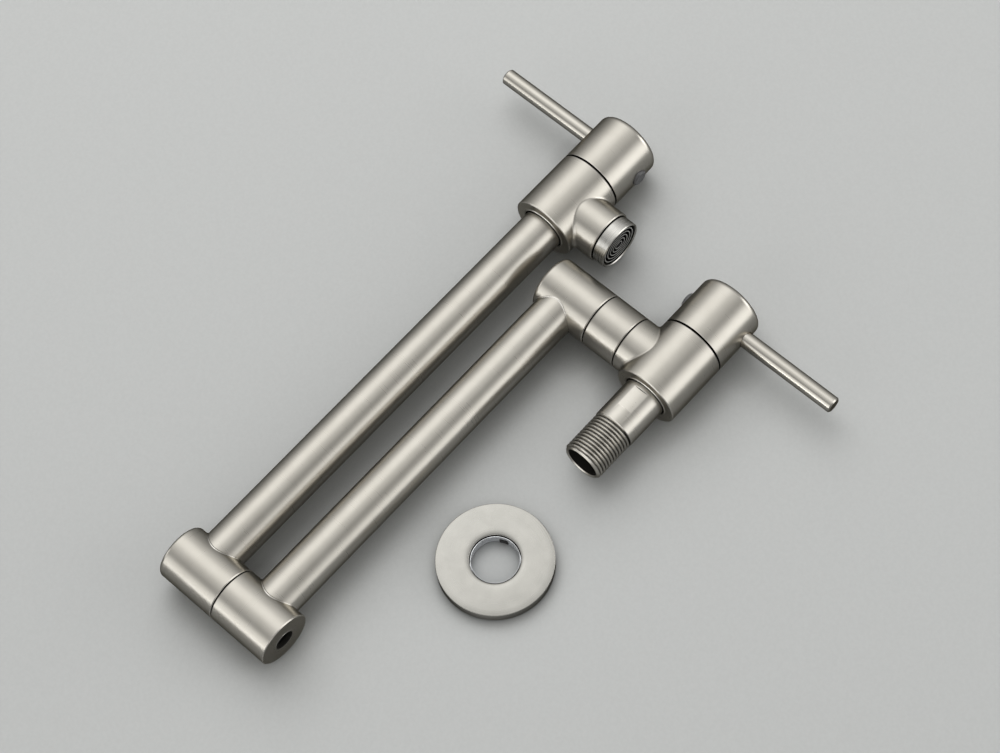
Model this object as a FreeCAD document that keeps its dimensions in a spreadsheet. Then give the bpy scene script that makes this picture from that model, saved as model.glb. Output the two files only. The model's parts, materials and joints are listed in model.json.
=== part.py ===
import FreeCAD, Part
import functools
import math
import os
import re

import Sketcher

# A folding wall-mounted kitchen tap. Its arms lie folded together, as in the rest pose.
# Millimetres. +Z runs up along the swivel pivots, +X away from the wall. The origin is the centre of the
# plane where the inlet thread ends and its neck begins, which is where the tap meets the wall fitting.
# Both valves are drawn in a frame of their own: its X axis is the barrel's, its Z axis the side branch's.

SIZES = [
    ("thread_radius", 10.4775, "inlet thread over its crests, a half-inch pipe thread"),
    ("thread_length", 22.1, "threaded length of the inlet nipple"),
    ("thread_bevel", 1.4, "bevel at the nipple's open end, along the axis"),
    ("bevel_drop", 1.25, "how much that bevel takes off the radius"),
    ("neck_radius", 10.7, "smooth neck of the nipple"),
    ("neck_length", 22.0, "neck showing between the thread and the valve body"),
    ("neck_bore", 8.2, "radius of the water way through the nipple"),
    ("flat_across", 20.1, "distance across the two wrench flats on the neck"),
    ("flat_length", 11.8, "length of each wrench flat"),
    ("flat_inset", 2.4, "wrench flats' distance from the valve body"),
    ("ring_thick", 1.6, "thickness of the rubber ring at the end of the neck"),
    ("valve_radius", 16.55, "radius of both valve barrels and caps"),
    ("body_back", 16.35, "branch axis to the back face of a valve body"),
    ("body_front", 17.0, "branch axis to the front face of a valve body"),
    ("entry_depth", 6.0, "how deep a nipple or tube goes into a valve body"),
    ("entry_groove", 0.45, "radial width of the dark groove round a nipple or tube"),
    ("entry_lip", 1.0, "width of the bevelled lip outside that groove"),
    ("lip_rise", 0.35, "how far that lip stands out of the back face"),
    ("rim_chamfer", 0.4, "small chamfer on the turned edges"),
    ("port_radius", 7.0, "water way between the hollow pieces"),
    ("pocket_radius", 12.0, "bore of a valve body for its cartridge"),
    ("pocket_depth", 18.0, "depth of that bore"),
    ("seam_fillet", 1.6, "fillet where a branch leaves a valve body"),
    ("barrel_radius", 13.75, "radius of the branch, collar, elbow and knuckle barrels"),
    ("branch_length", 22.2, "inlet valve axis to the top of its branch"),
    ("branch_bore", 6.0, "radius of the hole drilled from a branch into the cartridge bore"),
    ("joint_gap", 0.6, "dark gap between two barrels"),
    ("collar_length", 17.65, "height of the spacer collar"),
    ("elbow_below", 18.58, "inner tube axis to the lower end of the elbow"),
    ("elbow_above", 12.4, "inner tube axis to the top of the elbow"),
    ("elbow_round", 2.0, "rounding of the elbow's top edge"),
    ("lower_below", 16.1, "inner tube axis to the bottom of the knuckle"),
    ("lower_above", 16.03, "inner tube axis to the knuckle's gap"),
    ("upper_below", 17.37, "outer tube axis to the knuckle's gap"),
    ("upper_above", 15.1, "outer tube axis to the top of the knuckle"),
    ("knuckle_round", 1.8, "rounding of the knuckle's top edge"),
    ("end_wall", 3.5, "closed end wall of the elbow and upper knuckle barrels"),
    ("tube_radius", 10.54, "outside radius of the arm tubes"),
    ("tube_bore", 9.2, "inside radius of the arm tubes"),
    ("inner_reach", 210.05, "swivel axis to knuckle axis"),
    ("spout_past", 35.4, "swivel axis to spout axis while the arms are folded"),
    ("bearing_wall", 4.6, "a barrel's side to the running part of its hollow spindle"),
    ("run_gap", 0.05, "radial clearance of a running fit"),
    ("fit_gap", 0.03, "radial clearance of a fixed fit"),
    ("fixed_step", 0.75, "how much slimmer the fixed part of both spindles is"),
    ("spindle_wall", 2.9, "wall of a spindle's fixed part round its water way"),
    ("swivel_depth", 7.6, "how deep the swivel spindle screws into the branch"),
    ("swivel_reach", 14.9, "how far the swivel spindle reaches into the elbow"),
    ("knuckle_depth", 10.0, "how deep the knuckle spindle goes into the upper barrel"),
    ("groove_width", 2.4, "width of a groove for a rubber ring on a spindle"),
    ("cord_radius", 0.85, "section radius of a rubber ring on a spindle"),
    ("first_ring", 4.3, "joint plane to the first rubber ring on a spindle"),
    ("ring_pitch", 4.0, "distance between two rubber rings on a spindle"),
    ("floor_thick", 6.7, "floor of the lower knuckle barrel"),
    ("floor_gap", 0.3, "clearance under the knuckle spindle"),
    ("base_ring", 1.9, "lower end of the knuckle spindle to its lowest rubber ring"),
    ("window_radius", 3.0, "side windows of the knuckle spindle"),
    ("plug_length", 5.6, "solid lower end of the knuckle spindle"),
    ("screw_recess", 5.0, "depth of the recess under the knuckle"),
    ("recess_radius", 5.0, "radius of the recess under the knuckle"),
    ("head_radius", 4.6, "head of the knuckle screw"),
    ("head_height", 2.8, "height of that head"),
    ("socket_across", 4.0, "hex socket of the knuckle screw, across its flats"),
    ("socket_depth", 1.9, "depth of that socket"),
    ("shank_radius", 2.5, "shank of the knuckle screw"),
    ("shank_length", 6.0, "length of that shank"),
    ("washer_edge", 1.15, "how far a washer stays inside the barrels' outside"),
    ("washer_gap", 0.15, "clearance of a washer round its spindle"),
    ("face_gap", 0.1, "clearance between faces that turn on each other"),
    ("stop_radius", 1.2, "tip of the elbow's retaining screw"),
    ("stop_cut", 1.25, "depth of the groove that this tip runs in"),
    ("stop_play", 0.2, "clearance of that tip in its groove"),
    ("stop_sink", 0.6, "how far the retaining screw lies below the elbow's side"),
    ("stop_height", 12.0, "elbow's lower end to the retaining screw"),
    ("cap_gap", 0.5, "dark gap between a valve body and its cap"),
    ("cap_length", 29.2, "length of a handle cap"),
    ("cap_round", 3.0, "rounding of a cap's far edge"),
    ("cap_bore", 8.6, "bore of a cap round the cartridge neck"),
    ("cap_depth", 10.2, "depth of that bore"),
    ("lever_offset", 18.2, "a cap's open face to its lever axis"),
    ("plug_offset", 16.3, "a cap's open face to the axis of its plug and set screw"),
    ("lever_radius", 4.03, "radius of both lever rods"),
    ("inlet_lever_reach", 68.4, "inlet valve axis to the end of its lever"),
    ("outlet_lever_reach", 69.4, "outlet valve axis to the end of its lever"),
    ("lever_seat", 3.5, "how deep a lever rod sits in its cap"),
    ("lever_chamfer", 0.6, "chamfer at a lever's free end"),
    ("tenon_radius", 2.5, "threaded tenon of a lever"),
    ("tenon_length", 8.0, "length of that tenon"),
    ("plug_radius", 4.1, "plug over a set screw"),
    ("plug_seat", 2.0, "how deep that plug sits in its cap"),
    ("plug_rise", 1.1, "how far that plug stands out of its cap"),
    ("plug_chamfer", 0.6, "chamfer round that plug's face"),
    ("grub_radius", 2.0, "set screw that holds a cap on its stem"),
    ("grub_sink", 2.62, "how far that set screw lies below its plug"),
    ("seat_thick", 1.5, "thickness of the seat rubber"),
    ("disc_thick", 2.5, "thickness of each ceramic disc"),
    ("disc_gap", 0.02, "film between the two ceramic discs"),
    ("disc_radius", 10.3, "radius of the ceramic discs"),
    ("disc_port", 2.8, "radius of each port through a ceramic disc"),
    ("port_offset", 5.4, "distance of each port from the disc's centre"),
    ("sleeve_bore", 10.5, "bore of the cartridge sleeve round the discs"),
    ("drive_thick", 2.5, "drive plate of a stem"),
    ("drive_room", 2.0, "room in the sleeve ahead of the drive plate"),
    ("sleeve_window", 1.1, "radius of the sleeve's side windows"),
    ("sleeve_channel", 0.8, "depth of the water channel round those windows"),
    ("notch_offset", 8.0, "distance of each water notch from the moving disc's centre"),
    ("sleeve_neck", 8.0, "radius of the cartridge neck inside the cap"),
    ("neck_reach", 9.6, "how far that neck stands out of the valve body"),
    ("stem_radius", 4.0, "running part of a stem"),
    ("stem_end", 3.4, "broached end of a stem"),
    ("stem_reach", 10.0, "length of that end inside the cap"),
    ("stem_cord", 0.5, "section radius of the rubber ring on a stem"),
    ("stem_groove", 1.2, "width of the groove for that ring"),
    ("spout_radius", 13.2, "radius of the spout branch"),
    ("spout_length", 26.9, "outlet valve axis to the end of the spout branch"),
    ("aerator_gap", 0.4, "dark gap above the aerator ring"),
    ("aerator_radius", 12.35, "radius of the aerator ring"),
    ("aerator_length", 6.6, "height of the aerator ring"),
    ("aerator_rim", 1.1, "wall of the aerator ring at its mouth"),
    ("mouth_chamfer", 0.4, "chamfer inside the aerator ring's mouth"),
    ("aerator_thread", 9.5, "radius of the aerator's threaded part"),
    ("aerator_screwed", 9.0, "length of that threaded part"),
    ("aerator_wall", 1.4, "wall of that threaded part"),
    ("washer_thick", 1.4, "rubber washer above the aerator"),
    ("insert_inset", 0.7, "how deep the aerator insert lies in the ring's mouth"),
    ("insert_flange", 3.2, "height of the insert's wide face"),
    ("insert_stack", 5.5, "length of the insert's narrow mesh part"),
    ("insert_ring", 1.0, "width of each rib and groove on the insert's face"),
    ("insert_groove", 0.8, "depth of those grooves"),
    ("plate_radius", 27.2, "radius of the loose cover plate"),
    ("plate_height", 6.75, "height of the loose cover plate with its gasket"),
    ("plate_hole", 11.75, "radius of the cover plate's hole"),
    ("plate_skin", 1.5, "sheet thickness of the cover plate"),
    ("plate_dish", 0.5, "how much the cover plate's face drops towards its hole"),
    ("plate_lip", 2.4, "rounding of the lip at that hole"),
    ("lip_depth", 3.0, "depth of the lip's wall round that hole"),
    ("plate_x", -79.7, "cover plate's centre along X"),
    ("plate_z", 1.6, "cover plate's centre along Z"),
    ("gasket_thick", 0.9, "gasket under the cover plate"),
    ("gasket_width", 3.0, "width of that gasket"),
    ("gasket_inset", 0.5, "how far that gasket stays inside the plate's edge"),
    ("liner_wall", 1.3, "wall of the bright sleeve in the cover plate"),
    ("liner_step", 0.35, "how far that sleeve stands inside the plate's hole"),
    ("liner_foot", 0.3, "how far that sleeve stays off the table"),
    ("tab_width", 4.3, "width of the dark tab in the sleeve"),
    ("tab_height", 3.0, "height of that tab"),
    ("tab_reach", 0.6, "how far that tab stands into the hole"),
    ("tab_angle", 22.0, "that tab's direction from +X towards +Z, in degrees"),
]

doc = FreeCAD.newDocument("folding_tap")
sheet = doc.addObject("Spreadsheet::Sheet", "Sizes")
for row, (alias, size, note) in enumerate(SIZES, start=1):
    sheet.set(f"A{row}", note)
    sheet.set(f"B{row}", str(size))
    sheet.setAlias(f"B{row}", alias)
doc.recompute()

ALIASES = {alias for alias, size, note in SIZES}
WORD = re.compile(r"[a-z]+(?:_[a-z]+)*")

# Places that several pieces share, written as sums of the sheet's sizes
SWIVEL_X = "(neck_length + body_back)"
KNUCKLE_X = f"({SWIVEL_X} - inner_reach)"
SPOUT_X = f"({SWIVEL_X} + spout_past)"
COLLAR_Z = "(branch_length + joint_gap)"
COLLAR_TOP = f"({COLLAR_Z} + collar_length)"
ELBOW_Z = f"({COLLAR_TOP} + joint_gap)"
INNER_Z = f"({ELBOW_Z} + elbow_below)"
RISE = "(lower_above + joint_gap + upper_below)"
OUTER_Z = f"({INNER_Z} + {RISE})"
INLET = (SWIVEL_X, "0", "0")
SWIVEL = (SWIVEL_X, "0", INNER_Z)
LOWER = (KNUCKLE_X, "0", INNER_Z)
UPPER = (KNUCKLE_X, "0", OUTER_Z)
OUTLET = (SPOUT_X, "0", OUTER_Z)

# Places along the barrel of either valve, counted from its branch axis
POCKET_X = "(body_front - pocket_depth)"
DISC_X = f"({POCKET_X} + seat_thick)"
MOVING_X = f"({DISC_X} + disc_thick + disc_gap)"
DRIVE_X = f"({MOVING_X} + disc_thick + disc_gap)"
SLEEVE_X = f"({DRIVE_X} + drive_thick + drive_room)"
NECK_END = "(body_front + neck_reach)"
CAP_X = "(body_front + cap_gap)"
LEVER_X = f"({CAP_X} + lever_offset)"
PLUG_X = f"({CAP_X} + plug_offset)"
STEM_HOLE_X = f"({CAP_X} + cap_depth)"

# Radii that both hollow spindles share: their running part, their fixed part, and what goes round these
BEARING = "(barrel_radius - bearing_wall)"
FIXED = f"({BEARING} - fixed_step)"
RUNNING_BORE = f"{BEARING} + run_gap"
FIXED_BORE = f"{FIXED} + fit_gap"
WATER_WAY = f"({FIXED} - spindle_wall)"
WASHER_BORE = f"{BEARING} + washer_gap"
CORD_FLOOR = f"{BEARING} - cord_radius * 2"
CORD_CENTRE = f"{BEARING} - cord_radius"
STOP_FLOOR = f"{BEARING} - stop_cut"

# How far two places may lie apart and still count as one
CLOSE = 0.001
# Pairs of a rib and a groove on the aerator insert's face
INSERT_RIBS = 4
# Water holes round a cartridge sleeve, round the knuckle spindle and through each ceramic disc
SLEEVE_WINDOWS = 8
SPINDLE_WINDOWS = 4
DISC_PORTS = 2
# How far a piece is turned round X: as drawn, hanging under its tube, or lying with its face to the front
UPRIGHT = 0
HANGING = 180
LAID_FLAT = 90
TO_THE_BACK = -90


def bound(text):
    """A sum with every size's name pointed at its cell."""
    return WORD.sub(lambda word: "Sizes." + word.group() if word.group() in ALIASES else word.group(), text)


def number(text):
    """The value of a sum of the sheet's sizes."""
    return float(sheet.evalExpression(text))


def new_body(label, place=("0", "0", "0"), tilt=UPRIGHT):
    """An empty body at a place, turned round X by tilt degrees."""
    body = doc.addObject("PartDesign::Body", label)
    body.Label = label
    body.Placement = FreeCAD.Placement(FreeCAD.Vector(), FreeCAD.Rotation(FreeCAD.Vector(1, 0, 0), tilt))
    for axis, text in zip("xyz", place):
        body.setExpression("Placement.Base." + axis, bound(text))
    return body


def new_sketch(body, name, plane):
    """A sketch on one of the body's own origin planes."""
    sketch = body.newObject("Sketcher::SketchObject", name)
    origin_plane = next(item for item in body.Origin.OriginFeatures if item.Role == plane)
    sketch.AttachmentSupport = [(origin_plane, "")]
    sketch.MapMode = "FlatFace"
    return sketch


def pin_point(sketch, item, end, across, up):
    """Ties one point of a sketch to two sums, counted from the sketch's origin."""
    for kind, axis, text in (("DistanceX", -2, across), ("DistanceY", -1, up)):
        if text == "0":
            sketch.addConstraint(Sketcher.Constraint("PointOnObject", item, end, axis))
            continue
        index = sketch.addConstraint(Sketcher.Constraint(kind, -1, 1, item, end, number(text)))
        sketch.setExpression(f"Constraints[{index}]", bound(text))


def closed_line(sketch, corners):
    """A closed outline through corners given as pairs of sums."""
    places = [FreeCAD.Vector(number(across), number(up), 0) for across, up in corners]
    count = len(places)
    for index, place in enumerate(places):
        sketch.addGeometry(Part.LineSegment(place, places[(index + 1) % count]), False)
    for index in range(count):
        sketch.addConstraint(Sketcher.Constraint("Coincident", index, 2, (index + 1) % count, 1))
    for index, (across, up) in enumerate(corners):
        pin_point(sketch, index, 1, across, up)


def turn(body, name, along, profile, kind="Revolution"):
    """Turns (along, radius) corners round the body's X or Z axis, to add metal or, as a Groove, to cut it."""
    plane, axis = ("XY_Plane", "H_Axis") if along == "x" else ("XZ_Plane", "V_Axis")
    corners = profile if along == "x" else [(radius, place) for place, radius in profile]
    sketch = new_sketch(body, name + "_outline", plane)
    closed_line(sketch, corners)
    feature = body.newObject("PartDesign::" + kind, name)
    feature.Profile = sketch
    feature.ReferenceAxis = (sketch, [axis])
    feature.Angle = 360
    doc.recompute()
    return feature


def turned(label, place, along, profile, tilt=UPRIGHT):
    """A body made by turning one outline."""
    body = new_body(label, place, tilt)
    turn(body, label + "_turned", along, profile)
    return body


def bar(start, end, inner, outer):
    """The outline of a plain ring or rod between two places."""
    return [(start, inner), (start, outer), (end, outer), (end, inner)]


def drill(body, name, plane, across, up, radius, depth=None, reverse=False):
    """A round hole square to an origin plane, from that plane to a depth or right through the body."""
    sketch = new_sketch(body, name + "_circle", plane)
    centre = FreeCAD.Vector(number(across), number(up), 0)
    sketch.addGeometry(Part.Circle(centre, FreeCAD.Vector(0, 0, 1), number(radius)), False)
    pin_point(sketch, 0, 3, across, up)
    index = sketch.addConstraint(Sketcher.Constraint("Radius", 0, number(radius)))
    sketch.setExpression(f"Constraints[{index}]", bound(radius))
    return cut_sketch(body, name, sketch, depth, reverse)


def cut_sketch(body, name, sketch, depth=None, reverse=False):
    """A pocket from a sketch, to a depth on one side or through the body both ways."""
    before = body.Shape.Volume
    pocket = body.newObject("PartDesign::Pocket", name)
    pocket.Profile = sketch
    if depth is None:
        pocket.SideType = "Symmetric"
        pocket.Type = "ThroughAll"
    else:
        pocket.Reversed = reverse
        pocket.setExpression("Length", bound(depth))
    doc.recompute()
    if not body.Shape.Volume < before:
        raise ValueError(name + " cuts nothing")
    return pocket


def repeat_round(body, name, feature, axis, count):
    """Repeats a feature evenly round one of the body's own axes."""
    pattern = body.newObject("PartDesign::PolarPattern", name)
    pattern.Originals = [feature]
    pattern.Axis = (next(item for item in body.Origin.OriginFeatures if item.Role == axis), [""])
    pattern.Angle = 360
    pattern.Occurrences = count
    body.Tip = pattern
    doc.recompute()


def circle_edges(shape, place, radius):
    """Names of the circular edges centred on a place, of one radius."""
    names = []
    for index, edge in enumerate(shape.Edges, start=1):
        curve = edge.Curve
        if isinstance(curve, Part.Circle) and abs(curve.Radius - radius) < CLOSE:
            if curve.Center.distanceToPoint(FreeCAD.Vector(*place)) < CLOSE:
                names.append(f"Edge{index}")
    return names


def seam_edges(shape, barrel, branch):
    """Names of the edges where the branch's side leaves the barrel's side."""
    names = []
    for index, edge in enumerate(shape.Edges, start=1):
        spots = edge.discretize(5)
        on_barrel = all(abs(math.hypot(spot.y, spot.z) - barrel) < CLOSE for spot in spots)
        on_branch = all(abs(math.hypot(spot.x, spot.y) - branch) < CLOSE for spot in spots)
        if on_barrel and on_branch:
            names.append(f"Edge{index}")
    return names


def fillet(body, name, find_edges, size):
    """Rounds the edges that find_edges names on the body's last feature."""
    tip = body.Tip
    feature = body.newObject("PartDesign::Fillet", name)
    feature.Base = (tip, find_edges(tip.Shape))
    feature.setExpression("Radius", bound(size))
    doc.recompute()


def stepped_bore(mouth, steps):
    """The outline of a blind bore: its mouth, then pairs of a radius and the place where it ends."""
    corners = [(mouth, "0")]
    start = mouth
    for radius, end in steps:
        corners.append((start, radius))
        corners.append((end, radius))
        start = end
    corners.append((start, "0"))
    return corners


def cross_bore(cap, name, along, mouth, steps):
    """A stepped blind bore across a cap, at a place along its axis."""
    sketch = new_sketch(cap, name + "_outline", "XZ_Plane")
    corners = [(f"{along} + {radius}", place) for place, radius in stepped_bore(mouth, steps)]
    closed_line(sketch, corners)
    bore = cap.newObject("PartDesign::Groove", name)
    bore.Profile = sketch
    bore.ReferenceAxis = (sketch, [f"Edge{len(corners)}"])
    bore.Angle = 360
    doc.recompute()


def valve_body(label, place, tilt, entry, branch, length, branch_steps):
    """A valve barrel with a side branch, bored for a cartridge and for what enters its back."""
    body = new_body(label, place, tilt)
    turn(body, label + "_barrel", "x", [
        ("-body_back", "0"),
        ("-body_back", f"{entry} + entry_groove"),
        ("-body_back - lip_rise", f"{entry} + entry_groove + entry_lip - lip_rise"),
        ("-body_back", f"{entry} + entry_groove + entry_lip"),
        ("-body_back", "valve_radius - rim_chamfer"),
        ("-body_back + rim_chamfer", "valve_radius"),
        ("body_front - rim_chamfer", "valve_radius"),
        ("body_front", "valve_radius - rim_chamfer"),
        ("body_front", "0"),
    ])
    turn(body, label + "_branch", "z", [
        ("0", "0"),
        ("0", branch),
        (f"{length} - rim_chamfer", branch),
        (length, f"{branch} - rim_chamfer"),
        (length, "0"),
    ])
    edges = functools.partial(seam_edges, barrel=number("valve_radius"), branch=number(branch))
    fillet(body, label + "_seam", edges, "seam_fillet")
    turn(body, label + "_bores", "x", [
        ("-body_back - lip_rise", "0"),
        ("-body_back - lip_rise", f"{entry} + entry_groove"),
        ("-body_back + entry_lip", f"{entry} + entry_groove"),
        ("-body_back + entry_lip", f"{entry} + fit_gap"),
        ("-body_back + entry_depth", f"{entry} + fit_gap"),
        ("-body_back + entry_depth", "port_radius"),
        (POCKET_X, "port_radius"),
        (POCKET_X, "pocket_radius"),
        ("body_front", "pocket_radius"),
        ("body_front", "0"),
    ], kind="Groove")
    turn(body, label + "_branch_bores", "z", stepped_bore(length, branch_steps), kind="Groove")


def cartridge(prefix, place, tilt):
    """The ceramic cartridge that fills a valve body's bore, and the stem that turns its upper disc."""
    turned(prefix + "_seat_ring", place, "x",
           bar(POCKET_X, DISC_X, "port_radius - seat_thick", "port_radius + seat_thick"), tilt)
    discs = (("_fixed_disc", DISC_X, "port_offset", "0"), ("_moving_disc", MOVING_X, "0", "notch_offset"))
    for name, start, across, up in discs:
        outline = bar(start, f"{start} + disc_thick", "0", "disc_radius")
        disc = turned(prefix + name, place, "x", outline, tilt)
        port = drill(disc, prefix + name + "_port", "YZ_Plane", across, up, "disc_port")
        repeat_round(disc, prefix + name + "_ports", port, "X_Axis", DISC_PORTS)
    sleeve = turned(prefix + "_cartridge", place, "x", [
        (DISC_X, "sleeve_bore"),
        (DISC_X, "pocket_radius - fit_gap"),
        (MOVING_X, "pocket_radius - fit_gap"),
        (MOVING_X, "pocket_radius - sleeve_channel"),
        (DRIVE_X, "pocket_radius - sleeve_channel"),
        (DRIVE_X, "pocket_radius - fit_gap"),
        ("body_front", "pocket_radius - fit_gap"),
        ("body_front", "sleeve_neck"),
        (NECK_END, "sleeve_neck"),
        (NECK_END, "stem_radius + run_gap"),
        (SLEEVE_X, "stem_radius + run_gap"),
        (SLEEVE_X, "sleeve_bore"),
    ], tilt)
    window = drill(sleeve, prefix + "_window", "XY_Plane", f"{MOVING_X} + disc_thick / 2", "0",
                   "sleeve_window", "pocket_radius", True)
    repeat_round(sleeve, prefix + "_windows", window, "X_Axis", SLEEVE_WINDOWS)
    turned(prefix + "_stem", place, "x", [
        (DRIVE_X, "0"),
        (DRIVE_X, "disc_radius"),
        (f"{DRIVE_X} + drive_thick", "disc_radius"),
        (f"{DRIVE_X} + drive_thick", "stem_radius"),
        ("body_front - stem_groove / 2", "stem_radius"),
        ("body_front - stem_groove / 2", "stem_radius - stem_cord * 2"),
        ("body_front + stem_groove / 2", "stem_radius - stem_cord * 2"),
        ("body_front + stem_groove / 2", "stem_radius"),
        (STEM_HOLE_X, "stem_radius"),
        (STEM_HOLE_X, "stem_end"),
        (f"{STEM_HOLE_X} + stem_reach", "stem_end"),
        (f"{STEM_HOLE_X} + stem_reach", "0"),
    ], tilt)
    rubber_ring(prefix + "_stem_ring", place, "x", "body_front", "stem_radius - stem_cord", "stem_cord")


def rubber_ring(label, place, along, middle, radius, section):
    """A round-section rubber ring round the X or Z axis of a place, at a distance along that axis."""
    ring = doc.addObject("Part::Torus", label)
    ring.Label = label
    angle = 90 if along == "x" else 0
    ring.Placement = FreeCAD.Placement(FreeCAD.Vector(), FreeCAD.Rotation(FreeCAD.Vector(0, 1, 0), angle))
    ring.setExpression("Radius1", bound(radius))
    ring.setExpression("Radius2", bound(section))
    for axis, text in zip("xyz", place):
        ring.setExpression("Placement.Base." + axis, bound(f"{text} + {middle}" if axis == along else text))


def handle(prefix, place, tilt, reach):
    """A cap with its rod lever, its set screw and the plug over that screw."""
    far = f"({CAP_X} + cap_length)"
    cap = turned(prefix + "_cap", place, "x", [
        (CAP_X, "0"),
        (CAP_X, "valve_radius - rim_chamfer"),
        (f"{CAP_X} + rim_chamfer", "valve_radius"),
        (far, "valve_radius"),
        (far, "0"),
    ], tilt)
    edges = functools.partial(circle_edges, place=(number(far), 0, 0), radius=number("valve_radius"))
    fillet(cap, prefix + "_cap_round", edges, "cap_round")
    turn(cap, prefix + "_cap_bores", "x", stepped_bore(CAP_X, [
        ("cap_bore", STEM_HOLE_X),
        ("stem_end + fit_gap", f"{STEM_HOLE_X} + stem_reach + fit_gap"),
    ]), kind="Groove")
    seat = "(valve_radius - lever_seat)"
    plug_floor = "(valve_radius - plug_seat)"
    grub = "(stem_end + fit_gap)"
    cross_bore(cap, prefix + "_lever_hole", LEVER_X, "-valve_radius", [
        ("lever_radius + fit_gap", f"-{seat}"),
        ("tenon_radius + fit_gap", f"-{seat} + tenon_length + fit_gap"),
    ])
    cross_bore(cap, prefix + "_screw_hole", PLUG_X, "valve_radius", [
        ("plug_radius + fit_gap", plug_floor),
        ("grub_radius + fit_gap", "stem_end - fit_gap"),
    ])
    lever_place = (f"{place[0]} + {LEVER_X}", place[1], place[2])
    turned(prefix + "_lever", lever_place, "z", [
        (f"-{reach}", "0"),
        (f"-{reach}", "lever_radius - lever_chamfer"),
        (f"-{reach} + lever_chamfer", "lever_radius"),
        (f"-{seat}", "lever_radius"),
        (f"-{seat}", "tenon_radius"),
        (f"-{seat} + tenon_length", "tenon_radius"),
        (f"-{seat} + tenon_length", "0"),
    ], tilt)
    plug_place = (f"{place[0]} + {PLUG_X}", place[1], place[2])
    turned(prefix + "_plug", plug_place, "z", [
        (plug_floor, "0"),
        (plug_floor, "plug_radius"),
        ("valve_radius + plug_rise - plug_chamfer", "plug_radius"),
        ("valve_radius + plug_rise", "plug_radius - plug_chamfer"),
        ("valve_radius + plug_rise", "0"),
    ], tilt)
    rod = bar(grub, f"{plug_floor} - grub_sink", "0", "grub_radius")
    turned(prefix + "_set_screw", plug_place, "z", rod, tilt)


def barrel(label, place, low, high):
    """A round barrel between two places on a pivot axis, its edges lightly chamfered."""
    return turned(label, place, "z", [
        (low, "0"),
        (low, "barrel_radius - rim_chamfer"),
        (f"{low} + rim_chamfer", "barrel_radius"),
        (f"{high} - rim_chamfer", "barrel_radius"),
        (high, "barrel_radius - rim_chamfer"),
        (high, "0"),
    ])


def closed_barrel(label, place, low, high, rounding):
    """A barrel whose upper end is closed and rounded."""
    body = turned(label, place, "z", [
        (low, "0"),
        (low, "barrel_radius - rim_chamfer"),
        (f"{low} + rim_chamfer", "barrel_radius"),
        (high, "barrel_radius"),
        (high, "0"),
    ])
    edges = functools.partial(circle_edges, place=(0, 0, number(high)), radius=number("barrel_radius"))
    fillet(body, label + "_round", edges, rounding)
    return body


def ring_groove(middle, width, floor):
    """The corners of a groove in the running part of a spindle, from below to above."""
    return [
        (f"{middle} - {width} / 2", BEARING),
        (f"{middle} - {width} / 2", floor),
        (f"{middle} + {width} / 2", floor),
        (f"{middle} + {width} / 2", BEARING),
    ]


def inlet_side():
    """What is fixed to the wall: the nipple, the inlet valve and the swivel's post and collar."""
    nipple_end = "neck_length + entry_depth - ring_thick"
    nipple = turned("inlet_nipple", ("0", "0", "0"), "x", [
        ("-thread_length", "neck_bore"),
        ("-thread_length", "thread_radius - bevel_drop"),
        ("-thread_length + thread_bevel", "thread_radius"),
        ("0", "thread_radius"),
        ("0", "neck_radius"),
        (nipple_end, "neck_radius"),
        (nipple_end, "neck_bore"),
    ])
    for name, sign in (("near_flat", "-"), ("far_flat", "")):
        sketch = new_sketch(nipple, name + "_outline", "XY_Plane")
        low, high = f"{sign}flat_across / 2", f"{sign}valve_radius"
        start, end = "neck_length - flat_inset - flat_length", "neck_length - flat_inset"
        closed_line(sketch, [(start, low), (start, high), (end, high), (end, low)])
        cut_sketch(nipple, name, sketch)
    turned("nipple_ring", ("0", "0", "0"), "x",
           bar(nipple_end, "neck_length + entry_depth", "port_radius", "neck_radius"))
    valve_body("inlet_valve_body", INLET, UPRIGHT, "neck_radius", "barrel_radius", "branch_length", [
        (FIXED_BORE, "branch_length - swivel_depth"),
        ("branch_bore", "pocket_radius - seat_thick"),
    ])
    cartridge("inlet", INLET, UPRIGHT)
    turned("collar_washer", INLET, "z",
           bar("branch_length", COLLAR_Z, FIXED_BORE, "barrel_radius - washer_edge"))
    collar = barrel("swivel_collar", INLET, COLLAR_Z, COLLAR_TOP)
    drill(collar, "swivel_collar_bore", "XY_Plane", "0", "0", FIXED_BORE)
    turned("swivel_washer", INLET, "z",
           bar(COLLAR_TOP, f"{ELBOW_Z} - face_gap", WASHER_BORE, "barrel_radius - washer_edge"))
    rings = [f"{ELBOW_Z} + first_ring", f"{ELBOW_Z} + first_ring + ring_pitch"]
    stop = f"{ELBOW_Z} + stop_height"
    turned("swivel_spindle", INLET, "z", [
        ("branch_length - swivel_depth", WATER_WAY),
        ("branch_length - swivel_depth", FIXED),
        (COLLAR_TOP, FIXED),
        (COLLAR_TOP, BEARING),
        *ring_groove(rings[0], "groove_width", CORD_FLOOR),
        *ring_groove(rings[1], "groove_width", CORD_FLOOR),
        *ring_groove(stop, "(stop_radius + stop_play) * 2", STOP_FLOOR),
        (f"{ELBOW_Z} + swivel_reach", BEARING),
        (f"{ELBOW_Z} + swivel_reach", WATER_WAY),
    ])
    for label, middle in zip(("swivel_lower_ring", "swivel_upper_ring"), rings):
        rubber_ring(label, INLET, "z", middle, CORD_CENTRE, "cord_radius")


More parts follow.
